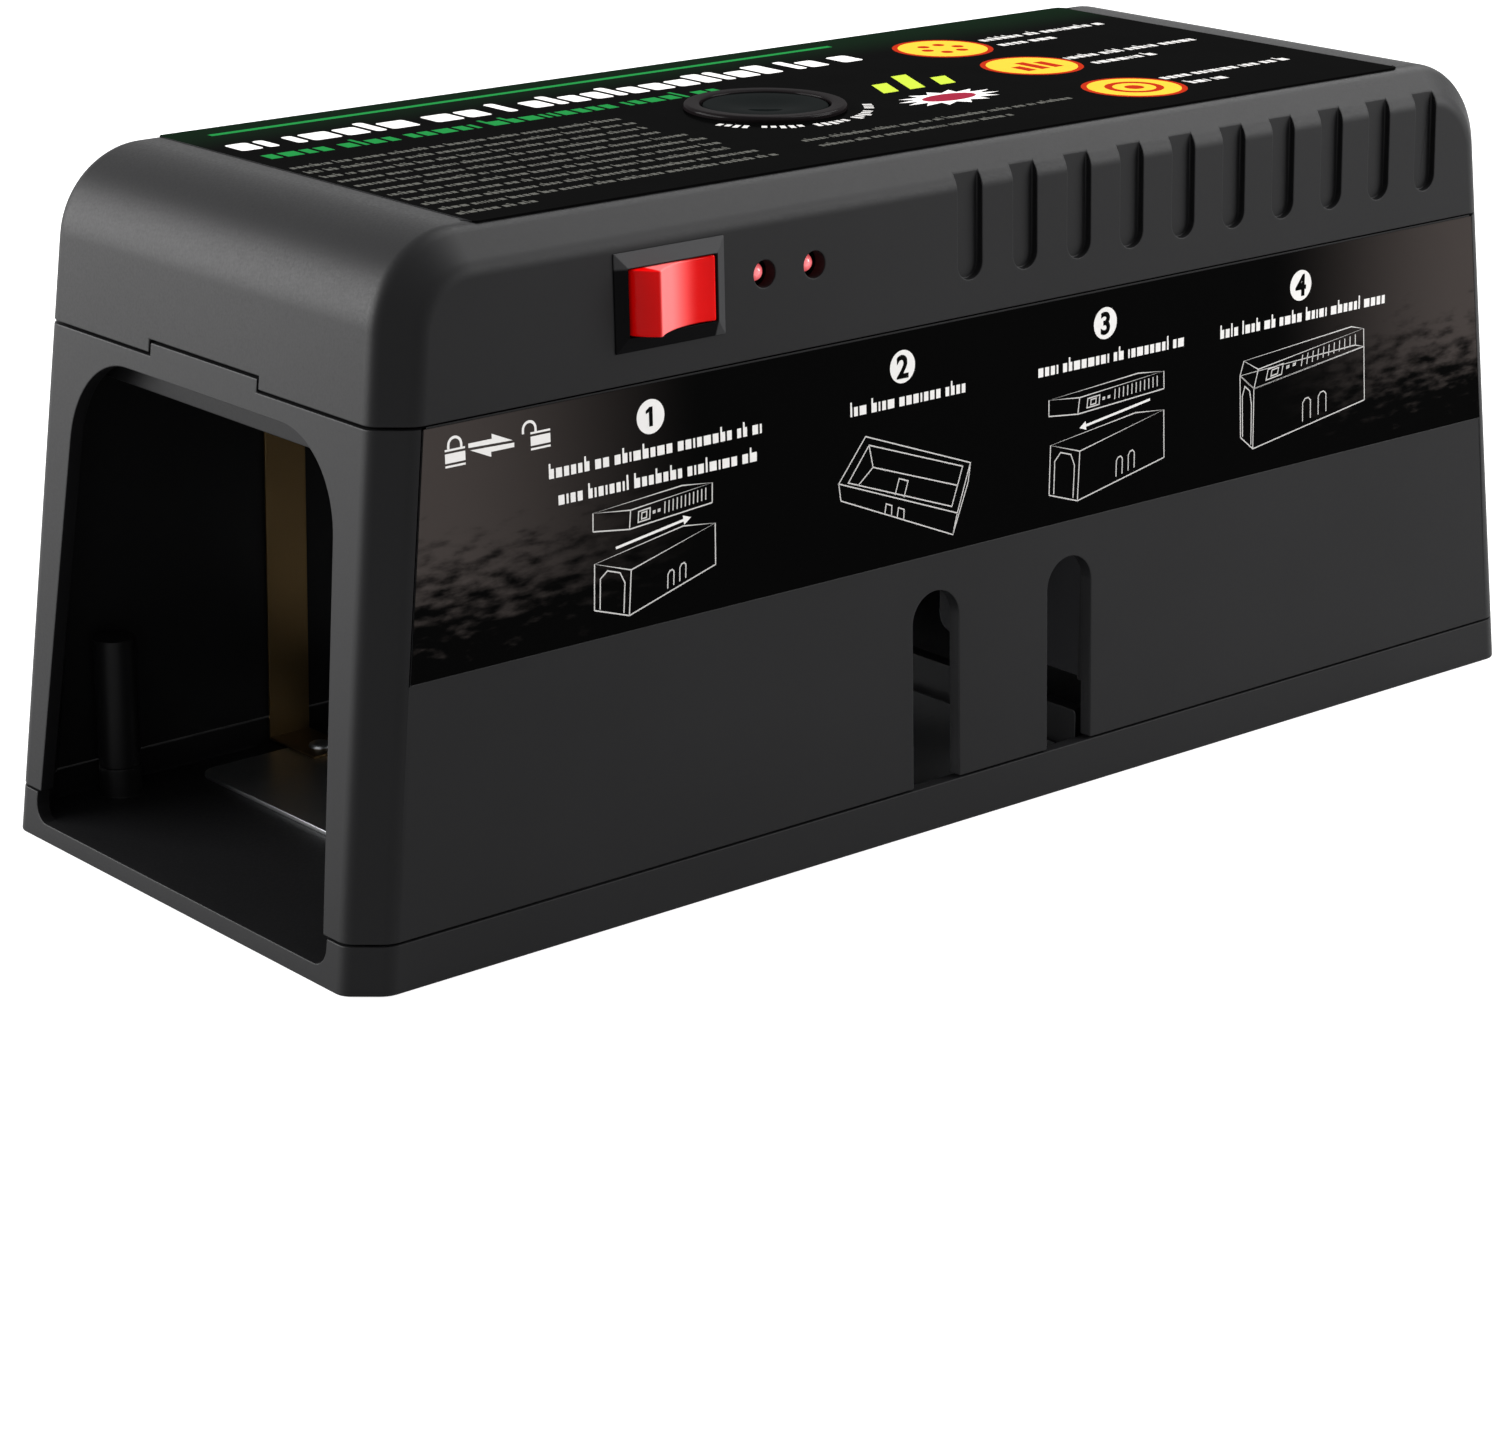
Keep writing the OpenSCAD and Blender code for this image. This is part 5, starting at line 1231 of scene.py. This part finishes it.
# ---- Baffle and bait cup ----
# Plain dark ABS mouldings inside the tunnel: a cross wall that turns the animal aside, and a
# loose cup with a lifting tab.
inner_abs = moulded_abs("satin dark grey ABS", "#1c1c1e", 0.42)
finished_copy("baffle_wall", "rear_baffle", "inner_abs", inner_abs, 0.3)
finished_copy("lift_out_cup", "bait_cup", "inner_abs", inner_abs, 0.3)

# ---- Tray, battery box and its door ----
# The tray closes the cover from below and carries the slide rails and the battery box. The door
# swings down on two pins and shows four cells between plated contacts and springs.
cell_z, cell_pitch, contact_t = 93.35, 14.8, 0.4
cell_l, cell_r, cell_spring, cell_play = 50.5, 7.15, 6.2, 0.5
can_r, nub_r, nub_h, sleeve_l = 5.6, 2.7, 1.05, 38
box_wall, box_in_x1 = 1.5, 94.0
box_in_x0 = box_in_x1 - 2 * contact_t - cell_l - cell_spring - cell_play


def facing(x, turn):
    """Matrices of the two cells and springs that stand at one end of the box."""
    return [Matrix.Translation((x, y * cell_pitch, cell_z)) @ Matrix.Rotation(turn, 4, "Y")
            for y in ((-1.5, 0.5) if turn > 0 else (-0.5, 1.5))]


def cell_wrap(name, hex_code):
    """Printed shrink sleeve of a dry cell: glossy, with a faint lengthwise shimmer."""
    return moulded(name, hex_code, 0.22, Coat_Weight=0.4)


finished_copy("tray_moulding", "cover_tray", "inner_abs", inner_abs, 0)
finished_copy("door_moulding", "battery_door", "inner_abs", inner_abs, 0.15)
finished_copy("cell_plates", "battery_contacts", "spring_wire", spring_wire, 0)
wrap, band = (cell_wrap(hue + " shrink sleeve", hex_code)
              for hue, hex_code in (("grey", "#8f959a"), ("blue", "#27507c")))
cap_steel = sheet_metal("nickel-plated can", "#c9cbcc", 0.3)
places = facing(box_in_x0 + contact_t, math.pi / 2) + facing(box_in_x1 - contact_t, -math.pi / 2)
sleeves, bands, cans, springs = [], [], [], []
for matrix in places:
    def along_cell(a, b, z):
        return tuple(matrix @ Vector((a, b, z + cell_spring)))
    sleeves.append(turned([(cell_r - 0.35, 0.1), (cell_r - 0.1, 0.25), (cell_r, 0.5),
                           (cell_r, sleeve_l)], along_cell))
    bands.append(turned([(cell_r, sleeve_l), (cell_r, cell_l - 1.6), (cell_r - 0.15, cell_l - 1.2),
                         (cell_r - 0.7, cell_l - nub_h)], along_cell))
    cans.append(turned([(can_r, 0.0), (can_r, cell_l - nub_h - 0.05), (nub_r, cell_l - nub_h),
                        (nub_r, cell_l - 0.2), (nub_r - 0.3, cell_l)], along_cell))
    springs.append(coil_spring(6.4, 0.6, cell_spring, 4, matrix))
dress(shade(joined(sleeves)), "cell_sleeves", "cover", "cell_wrap", wrap, "battery_cells")
dress(shade(joined(bands)), "cell_bands", "cover", "cell_wrap", band)
dress(shade(joined(cans)), "cell_cans", "cover", "spring_wire", cap_steel)
dress(joined(springs), "cell_springs", "cover", "spring_wire", spring_wire, "battery_springs")

# ---- Circuit board ----
# Green fibreglass board on six-millimetre posts, with the parts that make the high voltage. The
# button presses the small switch on it.
board_x0, board_x1, board_w = -52.0, 22.0, 66.0
board_half = board_w / 2
transformer_x, transformer_y = board_x0 + board_w * 0.23, board_w * 0.2
chip_x, chip_y = board_x0 + 19, -board_w * 0.21
pin_count, pin_pitch, pin_w, pin_row = 8, 2.3, 0.8, 3.6


def solder_mask(name, hex_code, track_hex):
    """Green solder mask: glossy lacquer, with the copper tracks showing as paler lines."""
    made, tree, shader = new_material(name)
    place = add(tree, "ShaderNodeTexCoord").outputs["Object"]
    cells = add(tree, "ShaderNodeTexVoronoi", {
        "Vector": place, "Scale": 150.0}, feature="DISTANCE_TO_EDGE")
    track = add(tree, "ShaderNodeMapRange", {"Value": cells, "From Min": 0.06, "From Max": 0.1})
    tint = add(tree, "ShaderNodeMix", {
        0: track, 6: linear(track_hex), 7: linear(hex_code)}, data_type="RGBA")
    relief = add(tree, "ShaderNodeBump", {
        "Height": track, "Strength": 0.3, "Distance": 0.03 * MM}, invert=True)
    feed(tree, shader, {"Base Color": tint, "Normal": relief, "Roughness": 0.25})
    return made


def standing(size, x, y, z, edge=0.4):
    """A block with rounded edges that stands on the middle of its foot."""
    half_l, half_w = size[0] / 2, size[1] / 2
    return soften(block(x - half_l, x + half_l, y - half_w, y + half_w, z, z + size[2]), edge)


finished_copy("fibreglass_board", "circuit_board", "board_green",
              solder_mask("green solder mask", "#12512b", "#2b7a49"), 0.1)
chip_black = moulded("black epoxy resin", "#17181a", 0.45)
winding_tape = moulded("yellow polyester tape", "#c9a23a", 0.3)
capacitor_red = moulded("red-brown epoxy dip", "#8e2c1e", 0.28)
can_sleeve = moulded("navy capacitor sleeve", "#22304a", 0.35)
dress(standing((13, 13, 9), transformer_x, transformer_y, board_top + 1.5, 0.8),
      "transformer_winding", "cover", "winding_tape", winding_tape, "transformer")
flanges = [standing((18, 15, 1.5), transformer_x, transformer_y, board_top + z, 0.3)
           for z in (0, 10.5)]
dress(joined(flanges), "transformer_bobbin", "cover", "chip_black", chip_black)
dress(standing((18, 7, 12), board_x1 - 16, board_w * 0.27, board_top, 1.6), "film_capacitor",
      "cover", "capacitor_red", capacitor_red, "capacitors")
can = turned([(r, board_top + z) for r, z in (
    (3.6, 0), (4, 0.3), (4, 1.2), (3.7, 1.5), (4, 1.8), (4, 11), (3.8, 11.35), (3.2, 11.5),
    (3.1, 11.35), (0.3, 11.35))], x=board_x1 - 13, y=-board_w / 4)
dress(shade(can), "can_capacitor", "cover", "capacitor_red", can_sleeve)
dress(standing((19, 6.4, 3.4), chip_x, chip_y, board_top + 0.6, 0.25), "chip_body", "cover",
      "chip_black", chip_black, "control_chip")
pins = mirrored_block(-pin_w / 2, pin_w / 2, pin_row - 0.5, pin_row + 0.5, 0, 2.3)
first_pin = (chip_x - (pin_count - 1) / 2 * pin_pitch, chip_y, board_top)
pins.data.transform(Matrix.Translation(Vector(first_pin) * MM))
dress(repeated(pins, screw_zinc, pin_count, (pin_pitch, 0, 0)), "chip_pins", "cover",
      "screw_zinc", screw_zinc)
push_switch = [standing((6, 6, 3.5), button_x, button_y, board_top, 0.2),
               turned([(1.7, board_top + 3.5), (1.7, board_top + 6.2), (1.4, board_top + 6.4)],
                      x=button_x, y=button_y, steps=28)]
dress(joined(push_switch), "tact_switch_body", "cover", "chip_black", chip_black, "tact_switch")

# ---- Switch contacts ----
# Bronze parts inside the switch: two terminals through its floor, and the see-saw that the
# rocker tips to join them.
finished_copy("switch_blades", "switch_terminals", "contact_bronze", contact_bronze, 0.08)
finished_copy("see_saw", "switch_seesaw", "contact_bronze", contact_bronze, 0)

# ---- Wires ----
# Stranded copper in a PVC sleeve, soldered at both ends: red from the cells through the switch,
# black back to the board, white to the three leaves.
wire_r, wire_step, joint_gap, tab_l = 0.7, 1.0, 0.05, 7.2
box_x0 = box_in_x0 - box_wall
tag_y = 1.5 * cell_pitch
terminal_y = -side_y(switch_z) - housing_foot + tab_l + touch


def wire_tree():
    """A round wire along the points of its mesh."""
    tree, given = sized_tree("wire", {"Radius": "Float", "Step": "Float"})
    route = add(tree, "GeometryNodeMeshToCurve", {"Mesh": given["Geometry"]})
    smooth = add(tree, "GeometryNodeCurveSplineType", {"Curve": route}, spline_type="CATMULL_ROM")
    even = add(tree, "GeometryNodeResampleCurve", {
        "Curve": smooth, "Length": given["Step"]}, mode="LENGTH")
    ring = add(tree, "GeometryNodeCurvePrimitiveCircle", {
        "Resolution": 12, "Radius": given["Radius"]})
    tube = add(tree, "GeometryNodeCurveToMesh", {
        "Curve": even, "Profile Curve": ring, "Fill Caps": True})
    return end_tree(tree, given, tube)


wire = wire_tree()


def sleeved_wires(name, routes, node, slot_name, hex_code):
    """Wires of one colour along the routes, as one piece."""
    points, edges = [], []
    for route in routes:
        edges += [(i, i + 1) for i in range(len(points), len(points) + len(route) - 1)]
        points += [Vector(p) * MM for p in route]
    mesh = bpy.data.meshes.new(name)
    mesh.from_pydata(points, edges, [])
    sleeve = moulded(name + " PVC", hex_code, 0.38)
    made = run_tree(new_object(name, mesh), wire, {"Radius": wire_r * MM, "Step": wire_step * MM,
                                                   "Material": sleeve})
    dress(shade(made, 60), name, "cover", slot_name, sleeve, node)


red_route = [(box_x0 - 4, -tag_y, cell_z), (box_x0 - 7, -tag_y, cell_z),
             (box_x0 - 9, -tag_y - 3, cell_z + 1), (board_x1 - 1, -35.5, cell_z + 2),
             (board_x0 + 28, -36, cell_z + 3), (board_x0 + 26, -34, cell_z + 10),
             (lamp_x - 1, terminal_y + 2, cell_z + 10), (board_x0 - 6, terminal_y + 4, cell_z + 8),
             (switch_x + 4, terminal_y + 5, cell_z + 4), (switch_x, terminal_y + 3, switch_z),
             (switch_x, terminal_y, switch_z)]
sleeved_wires("red_lead", [red_route], "red_wires", "wire_red", "#a81515")
black_route = [(box_x0 - 4, tag_y, cell_z), (box_x0 - 7, tag_y, cell_z),
               (box_x0 - 9.5, tag_y - 1, cell_z + 1.5),
               (board_x1 - 3, tag_y - 1, board_top + 3.4),
               (board_x1 - 4, tag_y - 1, board_top + 1.6),
               (board_x1 - 4, tag_y - 1, board_top + joint_gap)]
sleeved_wires("black_lead", [black_route], "black_wires", "wire_black", "#17171a")
white_routes = []
y, pad_y = leaf_root + 0.8, board_half - 2.4
for x in strip_places:
    edge = min(max(x, board_x0 + 6), board_x1 - 6)
    white_routes.append([(x - 2.5, y, leaf_top + joint_gap), (x - 2.5, y, 89),
                         ((x + edge) / 2, y + 1.2, board_z0 - 1), (edge, y + 1, board_top + 1),
                         (edge, y - 1.5, board_top + 2.6), (edge, pad_y, board_top + 1.6),
                         (edge, pad_y, board_top + joint_gap)])
sleeved_wires("white_leads", white_routes, "white_wires", "wire_white", "#cfcfcd")
